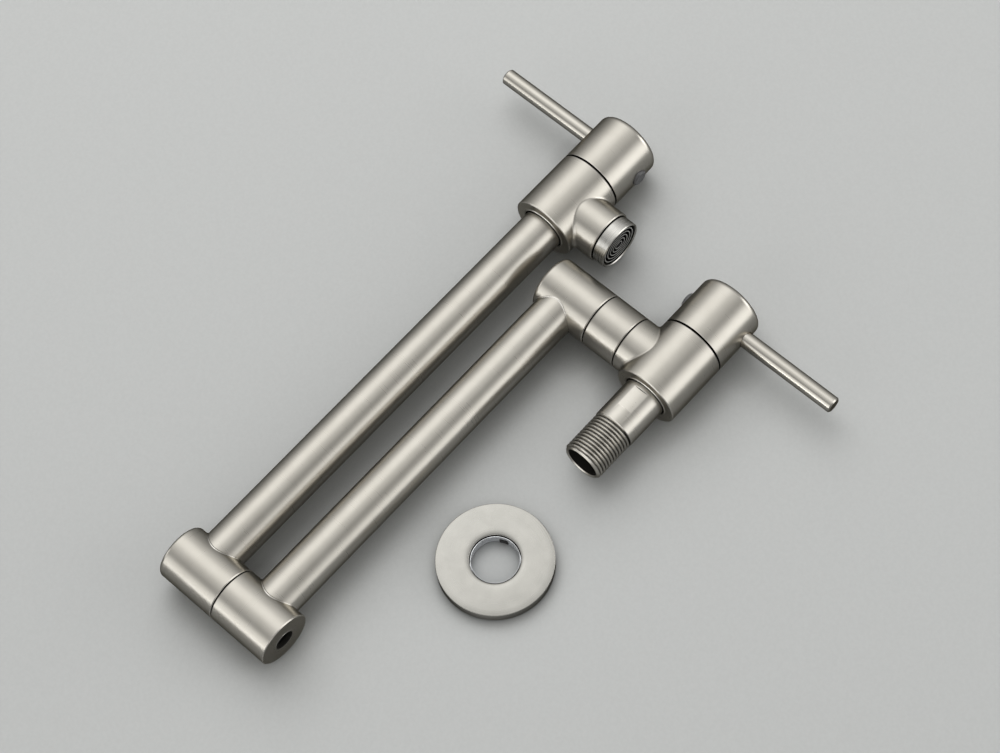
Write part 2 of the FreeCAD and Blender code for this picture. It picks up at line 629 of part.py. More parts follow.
def cover_plate():
    """The loose cover plate, lying flat on the table beside the tap, its face towards the front."""
    place = ("plate_x", "valve_radius", "plate_z")
    face = "(plate_height - plate_dish)"
    under = f"({face} - lip_depth)"
    plate = turned("escutcheon_plate", place, "z", [
        ("gasket_thick", "plate_radius - plate_skin"),
        ("gasket_thick", "plate_radius"),
        ("plate_height - rim_chamfer", "plate_radius"),
        ("plate_height", "plate_radius - rim_chamfer"),
        (face, "plate_hole"),
        (under, "plate_hole"),
        (under, "plate_hole + plate_skin"),
        (f"{face} - plate_skin", "plate_hole + plate_skin"),
        ("plate_height - plate_skin", "plate_radius - plate_skin"),
    ], LAID_FLAT)
    for name, height, radius, rounding in (
            ("lip_round", face, "plate_hole", "plate_lip"),
            ("lip_hollow", f"{face} - plate_skin", "plate_hole + plate_skin", "plate_lip - plate_skin")):
        edges = functools.partial(circle_edges, place=(0, 0, number(height)), radius=number(radius))
        fillet(plate, name, edges, rounding)
    turned("escutcheon_gasket", place, "z", bar(
        "0", "gasket_thick", "plate_radius - gasket_inset - gasket_width", "plate_radius - gasket_inset"),
        LAID_FLAT)
    bore = "plate_hole - liner_step"
    sleeve = bar("liner_foot", under, bore, f"{bore} + liner_wall")
    turned("escutcheon_liner", place, "z", sleeve, LAID_FLAT)
    tab = turned("escutcheon_tab", place, "z", bar(
        f"{under} - tab_height", under, f"{bore} - tab_reach", f"{bore} - fit_gap"), LAID_FLAT)
    wedge = tab.Tip
    wedge.Midplane = True
    wedge.setExpression("Angle", bound("tab_width / plate_hole * 180 / pi"))
    turn_round = FreeCAD.Rotation(FreeCAD.Vector(0, 0, 1), number("tab_angle"))
    tab.Placement.Rotation = tab.Placement.Rotation.multiply(turn_round)


def inner_arm():
    """The elbow on the swivel, the inner tube and the lower barrel of the knuckle."""
    elbow = closed_barrel("elbow_barrel", SWIVEL, "-elbow_below", "elbow_above", "elbow_round")
    turn(elbow, "elbow_bore", "z", stepped_bore("-elbow_below", [(RUNNING_BORE, "elbow_above - end_wall")]),
         kind="Groove")
    drill(elbow, "elbow_port", "YZ_Plane", "0", "0", "port_radius", "barrel_radius")
    drill(elbow, "elbow_screw_hole", "XZ_Plane", "0", "-elbow_below + stop_height", "grub_radius + fit_gap",
          "barrel_radius")
    turned("elbow_screw", (SWIVEL_X, "0", f"({ELBOW_Z} + stop_height)"), "z", [
        (f"{STOP_FLOOR} + stop_play", "0"),
        (f"{STOP_FLOOR} + stop_play", "stop_radius"),
        (f"{RUNNING_BORE} + stop_play", "stop_radius"),
        (f"{RUNNING_BORE} + stop_play", "grub_radius"),
        ("barrel_radius - stop_sink", "grub_radius"),
        ("barrel_radius - stop_sink", "0"),
    ], TO_THE_BACK)
    tube = turned("inner_tube", LOWER, "x", bar("0", "inner_reach", "tube_bore", "tube_radius"))
    for name, middle in (("near_cope", "0"), ("far_cope", "inner_reach")):
        drill(tube, name, "XY_Plane", middle, "0", "barrel_radius + fit_gap")
    lower = barrel("lower_barrel", LOWER, "-lower_below", "lower_above")
    turn(lower, "lower_bore", "z", stepped_bore("lower_above", [
        (RUNNING_BORE, "-lower_below + floor_thick"),
    ]), kind="Groove")
    turn(lower, "lower_screw_hole", "z", stepped_bore("-lower_below", [
        ("recess_radius", "-lower_below + screw_recess"),
        ("shank_radius + run_gap", "-lower_below + floor_thick"),
    ]), kind="Groove")
    drill(lower, "lower_port", "YZ_Plane", "0", "0", "port_radius", "barrel_radius", True)


def outer_arm():
    """The upper barrel and spindle of the knuckle, the outer tube, the outlet valve and the aerator."""
    upper = closed_barrel("upper_barrel", UPPER, "-upper_below", "upper_above", "knuckle_round")
    turn(upper, "upper_bore", "z", stepped_bore("-upper_below", [(FIXED_BORE, "upper_above - end_wall")]),
         kind="Groove")
    drill(upper, "upper_port", "YZ_Plane", "0", "0", "port_radius", "barrel_radius", True)
    foot = f"(floor_thick + floor_gap - lower_below - {RISE})"
    rings = {
        "knuckle_base_ring": f"{foot} + base_ring",
        "knuckle_lower_ring": "-upper_below - first_ring - ring_pitch",
        "knuckle_upper_ring": "-upper_below - first_ring",
    }
    grooves = []
    for middle in rings.values():
        grooves += ring_groove(middle, "groove_width", CORD_FLOOR)
    spindle = turned("knuckle_spindle", UPPER, "z", [
        (foot, "0"),
        (foot, BEARING),
        *grooves,
        ("-upper_below", BEARING),
        ("-upper_below", FIXED),
        ("-upper_below + knuckle_depth", FIXED),
        ("-upper_below + knuckle_depth", WATER_WAY),
        (f"{foot} + plug_length", WATER_WAY),
        (f"{foot} + plug_length", "0"),
    ])
    turn(spindle, "spindle_screw_hole", "z", stepped_bore(foot, [
        ("shank_radius + fit_gap", f"{foot} + shank_length + screw_recess - floor_thick")]), kind="Groove")
    window = drill(spindle, "spindle_window", "XZ_Plane", "0", f"-{RISE}", "window_radius", "barrel_radius")
    repeat_round(spindle, "spindle_windows", window, "Z_Axis", SPINDLE_WINDOWS)
    for label, middle in rings.items():
        rubber_ring(label, UPPER, "z", middle, CORD_CENTRE, "cord_radius")
    turned("knuckle_washer", UPPER, "z", bar(
        "-upper_below - joint_gap + face_gap", "-upper_below", WASHER_BORE, "barrel_radius - washer_edge"))
    knuckle_screw()
    tube = turned("outer_tube", UPPER, "x", bar(
        "0", "inner_reach + spout_past - body_back + entry_depth", "tube_bore", "tube_radius"))
    drill(tube, "outer_cope", "XY_Plane", "0", "0", "barrel_radius + fit_gap")
    thread_start = "(spout_length + aerator_gap - aerator_screwed)"
    valve_body("outlet_valve_body", OUTLET, HANGING, "tube_radius", "spout_radius", "spout_length", [
        ("aerator_thread + fit_gap", f"{thread_start} - washer_thick"),
        ("port_radius", "pocket_radius - seat_thick"),
    ])
    cartridge("outlet", OUTLET, HANGING)
    aerator(thread_start)


def knuckle_screw():
    """The screw under the knuckle that holds both barrels together, its socket facing down."""
    face = f"({INNER_Z} - lower_below + screw_recess - run_gap - head_height)"
    screw = turned("knuckle_screw", (KNUCKLE_X, "0", face), "z", [
        ("0", "0"),
        ("0", "head_radius - rim_chamfer"),
        ("rim_chamfer", "head_radius"),
        ("head_height", "head_radius"),
        ("head_height", "shank_radius"),
        ("head_height + shank_length", "shank_radius"),
        ("head_height + shank_length", "0"),
    ])
    sketch = new_sketch(screw, "socket_outline", "XY_Plane")
    corner, half = "socket_across / sqrt(3)", "socket_across / 2"
    closed_line(sketch, [
        (corner, "0"),
        (f"{corner} / 2", half),
        (f"-{corner} / 2", half),
        (f"-{corner}", "0"),
        (f"-{corner} / 2", f"-{half}"),
        (f"{corner} / 2", f"-{half}"),
    ])
    cut_sketch(screw, "socket", sketch, "socket_depth", True)


def aerator(thread_start):
    """The aerator ring screwed into the spout, its ribbed insert and the washer above it."""
    ring_start = "(spout_length + aerator_gap)"
    mouth = f"({ring_start} + aerator_length)"
    narrow = "aerator_thread - aerator_wall"
    wide = "aerator_radius - aerator_rim"
    flange = f"({mouth} - insert_inset - insert_flange)"
    turned("aerator_washer", OUTLET, "z", bar(
        f"{thread_start} - washer_thick", thread_start, "port_radius", "aerator_thread"), HANGING)
    turned("aerator_housing", OUTLET, "z", [
        (thread_start, narrow),
        (thread_start, "aerator_thread"),
        (ring_start, "aerator_thread"),
        (ring_start, "aerator_radius - rim_chamfer"),
        (f"{ring_start} + rim_chamfer", "aerator_radius"),
        (f"{mouth} - rim_chamfer", "aerator_radius"),
        (mouth, "aerator_radius - rim_chamfer"),
        (mouth, f"{wide} + mouth_chamfer"),
        (f"{mouth} - mouth_chamfer", wide),
        (flange, wide),
        (flange, narrow),
    ], HANGING)
    face = f"({mouth} - insert_inset)"
    ribs = []
    for rib in range(INSERT_RIBS):
        outer = f"{wide} - fit_gap - insert_ring * {2 * rib + 1}"
        inner = f"{wide} - fit_gap - insert_ring * {2 * rib + 2}"
        floor = f"{face} - insert_groove"
        ribs += [(face, outer), (floor, outer), (floor, inner), (face, inner)]
    turned("aerator_insert", OUTLET, "z", [
        (f"{flange} - insert_stack", "0"),
        (f"{flange} - insert_stack", f"{narrow} - fit_gap"),
        (flange, f"{narrow} - fit_gap"),
        (flange, f"{wide} - fit_gap"),
        (face, f"{wide} - fit_gap"),
        *ribs,
        (face, "0"),
    ], HANGING)


inlet_side()
cover_plate()
handle("inlet", INLET, UPRIGHT, "inlet_lever_reach")
inner_arm()
outer_arm()
handle("outlet", OUTLET, HANGING, "outlet_lever_reach")
doc.recompute()

pieces = [item for item in doc.Objects if item.TypeId in ("PartDesign::Body", "Part::Torus")]
for item in doc.Objects:
    if "Invalid" in item.State or "Error" in item.State:
        raise ValueError(f"{item.Label} did not build: {item.State}")
for piece in pieces:
    shape = piece.Shape
    if shape.isNull() or not shape.isValid() or len(shape.Solids) != 1:
        raise ValueError(f"{piece.Label} is not one sound solid")

os.makedirs("parts", exist_ok=True)
for piece in pieces:
    piece.Shape.exportStep(f"parts/{piece.Label}.step")
print(len(pieces), "pieces written")
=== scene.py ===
import json
import math

import bpy
from mathutils import Matrix, Vector


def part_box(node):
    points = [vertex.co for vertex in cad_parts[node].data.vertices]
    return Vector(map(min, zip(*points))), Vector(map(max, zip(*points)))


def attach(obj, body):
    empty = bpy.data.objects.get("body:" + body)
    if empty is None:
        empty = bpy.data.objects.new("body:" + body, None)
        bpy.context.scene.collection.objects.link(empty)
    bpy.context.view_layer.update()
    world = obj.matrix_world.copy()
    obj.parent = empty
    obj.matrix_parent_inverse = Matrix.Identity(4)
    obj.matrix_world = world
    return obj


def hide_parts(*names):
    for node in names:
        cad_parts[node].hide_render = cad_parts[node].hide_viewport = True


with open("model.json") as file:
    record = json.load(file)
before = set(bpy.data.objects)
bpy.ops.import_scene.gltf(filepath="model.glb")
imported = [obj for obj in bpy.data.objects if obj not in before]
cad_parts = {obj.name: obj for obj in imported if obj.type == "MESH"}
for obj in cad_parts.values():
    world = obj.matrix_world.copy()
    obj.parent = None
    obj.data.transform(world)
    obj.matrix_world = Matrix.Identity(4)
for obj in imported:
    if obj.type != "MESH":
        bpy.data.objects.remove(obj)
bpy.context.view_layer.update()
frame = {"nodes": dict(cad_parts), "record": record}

# A folding wall-mounted kitchen tap, lying folded on a pale table with its cover plate beside it.
# Metres. The table is the plane y = TABLE_Y, and the photograph's camera is on its -Y side.

VALVE_RADIUS = 0.01655
TABLE_GAP = 0.00005
TABLE_Y = VALVE_RADIUS + TABLE_GAP

# The middle of the spout, and the height of the ribbed face in its mouth
SPOUT_X = 0.07375
RIB_FACE = 0.06043

# Lines that the turned pieces were turned round: a place on the line, and its direction
ALONG_X = (1.0, 0.0, 0.0)
ALONG_Y = (0.0, 1.0, 0.0)
ALONG_Z = (0.0, 0.0, 1.0)
INLET_LINE = ((0.0, 0.0, 0.0), ALONG_X)
INNER_TUBE_LINE = ((0.0, 0.0, 0.05963), ALONG_X)
OUTLET_LINE = ((0.0, 0.0, 0.09363), ALONG_X)
SWIVEL_LINE = ((0.03835, 0.0, 0.0), ALONG_Z)
KNUCKLE_LINE = ((-0.1717, 0.0, 0.0), ALONG_Z)
SPOUT_LINE = ((SPOUT_X, 0.0, 0.0), ALONG_Z)
INLET_LEVER_LINE = ((0.07405, 0.0, 0.0), ALONG_Z)
OUTLET_LEVER_LINE = ((0.10945, 0.0, 0.0), ALONG_Z)
PLATE_LINE = ((-0.0797, 0.0, 0.0016), ALONG_Y)

# The photograph's camera: which way its picture's right, its picture's foot and its eye point, where it
# stands, its lens in millimetres, and how near and far it sees
CAMERA_RIGHT = (0.66747, 0.05344, -0.74272)
CAMERA_DOWN = (-0.68599, 0.43213, -0.58539)
CAMERA_FORWARD = (0.28967, 0.90023, 0.32509)
CAMERA_PLACE = (-0.36480, -1.09110, -0.33680)
LENS_LENGTH = 94.694
SENSOR_WIDTH = 36.0
NEAREST_SEEN = 0.05
FURTHEST_SEEN = 20.0


def lay_camera():
    """The camera that the photograph was fitted with."""
    right, down, forward = Vector(CAMERA_RIGHT), Vector(CAMERA_DOWN), Vector(CAMERA_FORWARD)
    data = bpy.data.cameras.new("camera")
    data.sensor_fit = "HORIZONTAL"
    data.sensor_width = SENSOR_WIDTH
    data.lens = LENS_LENGTH
    data.clip_start = NEAREST_SEEN
    data.clip_end = FURTHEST_SEEN
    camera = bpy.data.objects.new("camera", data)
    bpy.context.scene.collection.objects.link(camera)
    turn = Matrix((right, -down, -forward)).transposed().to_4x4()
    camera.matrix_world = Matrix.Translation(CAMERA_PLACE) @ turn
    bpy.context.scene.camera = camera


class Nodes:
    """A node tree being filled: adds nodes, links them and sets their plain inputs."""

    def __init__(self, tree):
        self.tree = tree
        tree.nodes.clear()

    def add(self, kind, **settings):
        """A new node with its own settings."""
        node = self.tree.nodes.new(kind)
        for name, value in settings.items():
            setattr(node, name, value)
        return node

    def group(self, tree, **values):
        """A node group placed in this tree, with its plain inputs set."""
        node = self.add("ShaderNodeGroup", node_tree=tree)
        for name, value in values.items():
            node.inputs[name].default_value = value
        return node

    def wire(self, source, target, name):
        """Links an output socket to a node's input, found by name or number."""
        self.tree.links.new(source, target.inputs[name])

    def feed(self, value, target, name):
        """Sets a node's input to a number, or links it when the value is a socket."""
        if isinstance(value, (int, float)):
            target.inputs[name].default_value = value
        else:
            self.wire(value, target, name)

    def maths(self, operation, first, second):
        """A Math node's output. Each input is a socket or a number."""
        node = self.add("ShaderNodeMath", operation=operation)
        self.feed(first, node, 0)
        self.feed(second, node, 1)
        return node.outputs[0]

    def vector_maths(self, operation, first, second=None):
        """A Vector Math node's output: a number for a dot product or a length, and otherwise a vector."""
        node = self.add("ShaderNodeVectorMath", operation=operation)
        self.wire(first, node, 0)
        if second is not None:
            self.wire(second, node, 1)
        return node.outputs["Value" if operation in ("DOT_PRODUCT", "LENGTH") else "Vector"]

    def noise(self, place, scale, detail=2.0, roughness=0.5):
        """A Noise Texture's value at a place. scale is a socket or a number."""
        node = self.add("ShaderNodeTexNoise")
        self.wire(place, node, "Vector")
        self.feed(scale, node, "Scale")
        self.feed(detail, node, "Detail")
        self.feed(roughness, node, "Roughness")
        return node.outputs["Fac"]

    def remap(self, value, low, high, start, end):
        """A Map Range node's output: low to high becomes start to end. Each is a socket or a number."""
        node = self.add("ShaderNodeMapRange")
        self.wire(value, node, "Value")
        for name, limit in (("From Min", low), ("From Max", high), ("To Min", start), ("To Max", end)):
            self.feed(limit, node, name)
        return node.outputs["Result"]


def new_group(name, inputs, outputs):
    """An empty node group with named sockets, and its input and output nodes. It puts out numbers."""
    tree = bpy.data.node_groups.new(name, "ShaderNodeTree")
    for title, kind, default in inputs:
        socket = tree.interface.new_socket(name=title, in_out="INPUT", socket_type=kind)
        if default is not None:
            socket.default_value = default
    for title in outputs:
        tree.interface.new_socket(name=title, in_out="OUTPUT", socket_type="NodeSocketFloat")
    nodes = Nodes(tree)
    return tree, nodes, nodes.add("NodeGroupInput"), nodes.add("NodeGroupOutput")


# The marks of turning: how fine they are, how far they wander, and the blotches between them
FINENESS = 3200.0
MARK_DETAIL = 3.0
MARK_ROUGHNESS = 0.6
WANDER_SCALE = 60.0
WANDER = 0.0016
BLOTCH_SCALE = 130.0
BLOTCH_DETAIL = 4.0

# The crack where a cap meets its valve, painted dark as shade over the slit and its chamfers: half its width,
# its soft edge, and a place beyond every piece
SEAM_HALF = 0.00036
SEAM_SOFT = 0.0001
NO_SEAM = 1.0


def turned_marks_group():
    """Fine marks that run round a line, as a lathe and an abrasive pad leave them.

    Bore is 1 nearer to the line than Hollow, and Crack is 1 at the place Seam along the line."""
    tree, nodes, given, out = new_group("turned marks", [
        ("Vector", "NodeSocketVector", None),
        ("Axis", "NodeSocketVector", ALONG_X),
        ("Fineness", "NodeSocketFloat", FINENESS),
        ("Hollow", "NodeSocketFloat", 0.0),
        ("Seam", "NodeSocketFloat", NO_SEAM),
    ], ["Marks", "Blotches", "Bore", "Crack"])
    place = given.outputs["Vector"]
    axis = given.outputs["Axis"]
    along = nodes.vector_maths("DOT_PRODUCT", place, axis)
    part = nodes.add("ShaderNodeVectorMath", operation="SCALE")
    nodes.wire(axis, part, 0)
    nodes.wire(along, part, "Scale")
    radius = nodes.vector_maths("LENGTH", nodes.vector_maths("SUBTRACT", place, part.outputs[0]))
    spot = nodes.add("ShaderNodeCombineXYZ")
    nodes.wire(along, spot, "X")
    nodes.wire(radius, spot, "Y")
    nodes.wire(nodes.maths("MULTIPLY", nodes.noise(place, WANDER_SCALE), WANDER), spot, "Z")
    away = nodes.maths("ABSOLUTE", nodes.maths("SUBTRACT", along, given.outputs["Seam"]), 0.0)
    made = {
        "Marks": nodes.noise(spot.outputs[0], given.outputs["Fineness"], MARK_DETAIL, MARK_ROUGHNESS),
        "Blotches": nodes.noise(place, BLOTCH_SCALE, BLOTCH_DETAIL),
        "Bore": nodes.maths("LESS_THAN", radius, given.outputs["Hollow"]),
        "Crack": nodes.remap(away, SEAM_HALF, SEAM_HALF - SEAM_SOFT, 0.0, 1.0),
    }
    for name, value in made.items():
        nodes.wire(value, out, name)
    return tree


# Rubbed edges, made smoother and given a painted highlight: how wide they are, the rays that find them, and
# the bend at which one is quite rubbed
RUB_AND_HIGHLIGHT_WIDTH = 0.0004
RUB_AND_HIGHLIGHT_SAMPLES = 4
RUB_AND_HIGHLIGHT_FULL = 0.85


def rubbed_and_highlighted_edges_group():
    """A mask of the edges that hands and cloths rub first, which turned metal makes smoother and paints with
    a highlight.
    """
    tree, nodes, given, out = new_group("rubbed and highlighted edges", [
        ("Width", "NodeSocketFloat", RUB_AND_HIGHLIGHT_WIDTH),
    ], ["Mask"])
    bevel = nodes.add("ShaderNodeBevel", samples=RUB_AND_HIGHLIGHT_SAMPLES)
    nodes.wire(given.outputs["Width"], bevel, "Radius")
    surface = nodes.add("ShaderNodeNewGeometry")
    match = nodes.vector_maths("DOT_PRODUCT", bevel.outputs["Normal"], surface.outputs["Normal"])
    nodes.wire(nodes.remap(match, 1.0, RUB_AND_HIGHLIGHT_FULL, 0.0, 1.0), out, "Mask")
    return tree


# How far round itself metal looks for what covers it, and how open a place is where the painted shade starts,
# and where it is full. Between the numbers of OPEN_RANGE a place turns from covered to open.
GAP_REACH = 0.0015
METAL_GAP = (0.50, 0.35)
BARREL_GAP = (0.70, 0.46)
VALVE_GAP = (0.78, 0.52)
THREAD_GAP = (0.68, 0.50)
GAP_SAMPLES = 12
OPEN_RANGE = (0.55, 0.75)


def shaded_gaps_group():
    """A mask of closely covered places, such as gaps and groove floors, where shade is painted, and a mask of
    open ones.
    """
    tree, nodes, given, out = new_group("shaded gaps", [
        ("Reach", "NodeSocketFloat", GAP_REACH),
        ("Starts", "NodeSocketFloat", METAL_GAP[0]),
        ("Full", "NodeSocketFloat", METAL_GAP[1]),
    ], ["Mask", "Open"])
    around = nodes.add("ShaderNodeAmbientOcclusion", samples=GAP_SAMPLES)
    nodes.wire(given.outputs["Reach"], around, "Distance")
    starts, full = given.outputs["Starts"], given.outputs["Full"]
    nodes.wire(nodes.remap(around.outputs["AO"], starts, full, 0.0, 1.0), out, "Mask")
    nodes.wire(nodes.remap(around.outputs["AO"], *OPEN_RANGE, 0.0, 1.0), out, "Open")
    return tree


GRAIN_FINENESS = 3000.0
GRAIN_BLOTCH_SCALE = 90.0


def grain_group():
    """Fine grain without a direction, for moulded, cast and plated surfaces."""
    tree, nodes, given, out = new_group("fine grain", [
        ("Vector", "NodeSocketVector", None),
        ("Fineness", "NodeSocketFloat", GRAIN_FINENESS),
    ], ["Grain", "Blotches"])
    place = given.outputs["Vector"]
    nodes.wire(nodes.noise(place, given.outputs["Fineness"]), out, "Grain")
    nodes.wire(nodes.noise(place, GRAIN_BLOTCH_SCALE), out, "Blotches")
    return tree


TURNED_MARKS = turned_marks_group()
RUBBED_AND_HIGHLIGHTED_EDGES = rubbed_and_highlighted_edges_group()
FINE_GRAIN = grain_group()
SHADED_GAPS = shaded_gaps_group()

# A colour Mix node's two colour inputs and its output, by number
FIRST_COLOUR = 6
SECOND_COLOUR = 7
MIXED_COLOUR = 2


def new_material(name):
    """A material with a Principled shader, and the object's own coordinates for its patterns."""
    material = bpy.data.materials.new(name)
    material.use_nodes = True
    nodes = Nodes(material.node_tree)
    shader = nodes.add("ShaderNodeBsdfPrincipled")
    output = nodes.add("ShaderNodeOutputMaterial")
    nodes.wire(shader.outputs[0], output, "Surface")
    coordinates = nodes.add("ShaderNodeTexCoord").outputs["Object"]
    return material, nodes, shader, coordinates


def two_tone(nodes, mask, dark, light):
    """A colour that drifts between two tones. dark may be a colour socket."""
    mix = nodes.add("ShaderNodeMix", data_type="RGBA")
    nodes.wire(mask, mix, "Factor")
    if isinstance(dark, tuple):
        mix.inputs[FIRST_COLOUR].default_value = (*dark, 1.0)
    else:
        nodes.wire(dark, mix, FIRST_COLOUR)
    mix.inputs[SECOND_COLOUR].default_value = (*light, 1.0)
    return mix.outputs[MIXED_COLOUR]


def bump(nodes, height, strength, depth, shader):
    """A fine relief that feeds the shader's normal."""
    relief = nodes.add("ShaderNodeBump")
    relief.inputs["Strength"].default_value = strength
    relief.inputs["Distance"].default_value = depth
    nodes.wire(height, relief, "Height")
    nodes.wire(relief.outputs[0], shader, "Normal")


# What counts as the lowest and highest value of the blotches, and of the marks and the grain
BLOTCH_SPREAD = (0.35, 0.65)
MARK_SPREAD = (0.3, 0.7)

# How far blotches and marks bring in the lighter tone, and how deep the marks are cut
BLOTCH_TONE = 0.75
MARK_TONE = 0.20
MARK_DEPTH = 0.00002
MARK_RELIEF = 0.012

# Painted shade in gaps, bores and cracks, and the painted highlight on rubbed edges: colours, roughness, and
# how much smoother a rim is
PAINTED_SHADE_COLOUR = (0.006, 0.006, 0.005)
GAP_ROUGHNESS = 0.75
BORE_SHADE = 0.94
RIM_HIGHLIGHT_COLOUR = (0.86, 0.84, 0.80)
RIM_SHINE = 0.08
EDGE_TINT = (0.10, 0.09, 0.06, 1.0)


def turned_metal(name, line, tones, rough, fineness=FINENESS, relief=MARK_RELIEF, gap=METAL_GAP,
                 hollow=0.0, seam=NO_SEAM):
    """Metal with fine marks round the line that it was turned on. rough is its smoothest and roughest.

    gap is how open a place is where painted shade starts to darken it, and where it is quite dark. hollow is
    the radius of a bore that is painted dark inside as shade, and seam is the place along the line where two
    pieces meet in a crack painted dark as shade."""
    material, nodes, shader, coordinates = new_material(name)
    place, axis = line
    centre = nodes.add("ShaderNodeMapping")
    centre.inputs["Location"].default_value = [-value for value in place]
    nodes.wire(coordinates, centre, "Vector")
    marks = nodes.group(TURNED_MARKS, Axis=axis, Fineness=fineness, Hollow=hollow, Seam=seam)
    nodes.wire(centre.outputs[0], marks, "Vector")
    edges = nodes.group(RUBBED_AND_HIGHLIGHTED_EDGES, Width=RUB_AND_HIGHLIGHT_WIDTH)
    gaps = nodes.group(SHADED_GAPS, Reach=GAP_REACH, Starts=gap[0], Full=gap[1])
    shader.inputs["Metallic"].default_value = 1.0
    shader.inputs["Specular Tint"].default_value = EDGE_TINT
    mixture = nodes.maths("ADD", nodes.remap(marks.outputs["Blotches"], *BLOTCH_SPREAD, 0.0, BLOTCH_TONE),
                          nodes.remap(marks.outputs["Marks"], *MARK_SPREAD, 0.0, MARK_TONE))
    # Painted highlight: rubbed edges in open places get the pale rim colour, and they are smoother too
    highlighted_rims = nodes.maths("MULTIPLY", edges.outputs["Mask"], gaps.outputs["Open"])
    plating = two_tone(nodes, highlighted_rims, two_tone(nodes, mixture, *tones), RIM_HIGHLIGHT_COLOUR)
    bore = nodes.maths("MULTIPLY", marks.outputs["Bore"], BORE_SHADE)
    # Painted shade: gaps, bores and the crack are darkened to the shade colour
    painted_gap_shade = nodes.maths("MAXIMUM", gaps.outputs["Mask"], bore)
    painted_shade = nodes.maths("MAXIMUM", painted_gap_shade, marks.outputs["Crack"])
    nodes.wire(two_tone(nodes, painted_shade, plating, PAINTED_SHADE_COLOUR), shader, "Base Color")
    gloss = nodes.remap(marks.outputs["Marks"], *MARK_SPREAD, *rough)
    rubbed = nodes.maths("SUBTRACT", gloss, nodes.maths("MULTIPLY", highlighted_rims, RIM_SHINE))
    nodes.wire(nodes.remap(painted_shade, 0.0, 1.0, rubbed, GAP_ROUGHNESS), shader, "Roughness")
    bump(nodes, marks.outputs["Marks"], relief, MARK_DEPTH, shader)
    return material


GRAIN_DEPTH = 0.00003
GRAIN_RELIEF = 0.2


def grained(name, tones, rough, metal=0.0, fineness=GRAIN_FINENESS, relief=GRAIN_RELIEF):
    """A surface with fine grain of no direction."""
    material, nodes, shader, coordinates = new_material(name)
    grain = nodes.group(FINE_GRAIN, Fineness=fineness)
    nodes.wire(coordinates, grain, "Vector")
    shader.inputs["Metallic"].default_value = metal
    mixture = nodes.remap(grain.outputs["Blotches"], *BLOTCH_SPREAD, 0.0, 1.0)
    nodes.wire(two_tone(nodes, mixture, *tones), shader, "Base Color")
    nodes.wire(nodes.remap(grain.outputs["Grain"], *MARK_SPREAD, *rough), shader, "Roughness")
    bump(nodes, grain.outputs["Grain"], relief, GRAIN_DEPTH, shader)
    return material


# How far down from the ribs' face the resin starts to darken, and where it is black
RIBS_PALE = 0.00003
RIBS_BLACK = 0.0002
GROOVE_COLOUR = (0.004, 0.004, 0.004)
RESIN_SHINE = 0.1


def ribbed_resin(name, tones, rough):
    """The insert's resin: pale on its ribs and black down in its grooves, where no light gets."""
    material, nodes, shader, coordinates = new_material(name)
    grain = nodes.group(FINE_GRAIN, Fineness=GRAIN_FINENESS)
    nodes.wire(coordinates, grain, "Vector")
    depth = nodes.add("ShaderNodeSeparateXYZ")
    nodes.wire(coordinates, depth, "Vector")
    sunk = nodes.remap(depth.outputs["Z"], RIB_FACE + RIBS_PALE, RIB_FACE + RIBS_BLACK, 0.0, 1.0)
    mixture = nodes.remap(grain.outputs["Blotches"], *BLOTCH_SPREAD, 0.0, 1.0)
    ribs = two_tone(nodes, mixture, *tones)
    nodes.wire(two_tone(nodes, sunk, ribs, GROOVE_COLOUR), shader, "Base Color")
    nodes.wire(nodes.remap(grain.outputs["Grain"], *MARK_SPREAD, *rough), shader, "Roughness")
    shader.inputs["Specular IOR Level"].default_value = RESIN_SHINE
    bump(nodes, grain.outputs["Grain"], GRAIN_RELIEF, GRAIN_DEPTH, shader)
    return material


# The darker and the lighter tone of each finish. THREAD_NICKEL and BEAD_NICKEL are lighter copies of the
# nickel, a painted highlight on the thread's crests and on the seams, and PLATE_NICKEL is a darker copy,
# painted shade.
NICKEL = ((0.590, 0.565, 0.515), (0.630, 0.605, 0.555))
COOL_NICKEL = ((0.590, 0.580, 0.555), (0.690, 0.680, 0.650))
THREAD_NICKEL = ((0.62, 0.595, 0.545), (0.68, 0.655, 0.605))
BEAD_NICKEL = ((0.64, 0.62, 0.58), (0.70, 0.68, 0.64))
PLATE_NICKEL = ((0.475, 0.468, 0.442), (0.525, 0.516, 0.488))
BRASS = ((0.60, 0.44, 0.20), (0.78, 0.61, 0.32))
STEEL = ((0.30, 0.30, 0.31), (0.46, 0.46, 0.47))
# The knuckle screw's steel, near black as painted shade in its recess
RECESS_SHADE_STEEL = ((0.02, 0.02, 0.021), (0.045, 0.045, 0.046))
CHROME = ((0.84, 0.86, 0.90), (0.90, 0.92, 0.95))
PLUG_GREY = ((0.09, 0.09, 0.095), (0.13, 0.13, 0.135))
RESIN_GREY = ((0.16, 0.16, 0.165), (0.26, 0.26, 0.27))
RIB_GREY = ((0.38, 0.38, 0.37), (0.48, 0.48, 0.47))
RUBBER = ((0.012, 0.012, 0.012), (0.03, 0.03, 0.03))
CERAMIC = ((0.80, 0.79, 0.75), (0.90, 0.89, 0.86))
BLACK_PLASTIC = ((0.002, 0.002, 0.002), (0.006, 0.006, 0.006))

# How smooth and how rough each finish is
SATIN = (0.272, 0.308)
POLISHED = (0.19, 0.23)
PLATE_SATIN = (0.22, 0.28)
BRUSHED = (0.20, 0.34)
TURNED_BRASS = (0.22, 0.38)
PLAIN_STEEL = (0.25, 0.42)
MIRROR = (0.06, 0.12)
SMOOTH_MOULDED = (0.25, 0.35)
MOULDED = (0.30, 0.42)
MATT_RUBBER = (0.55, 0.75)
LAPPED = (0.18, 0.30)
MATT_PLASTIC = (0.65, 0.80)

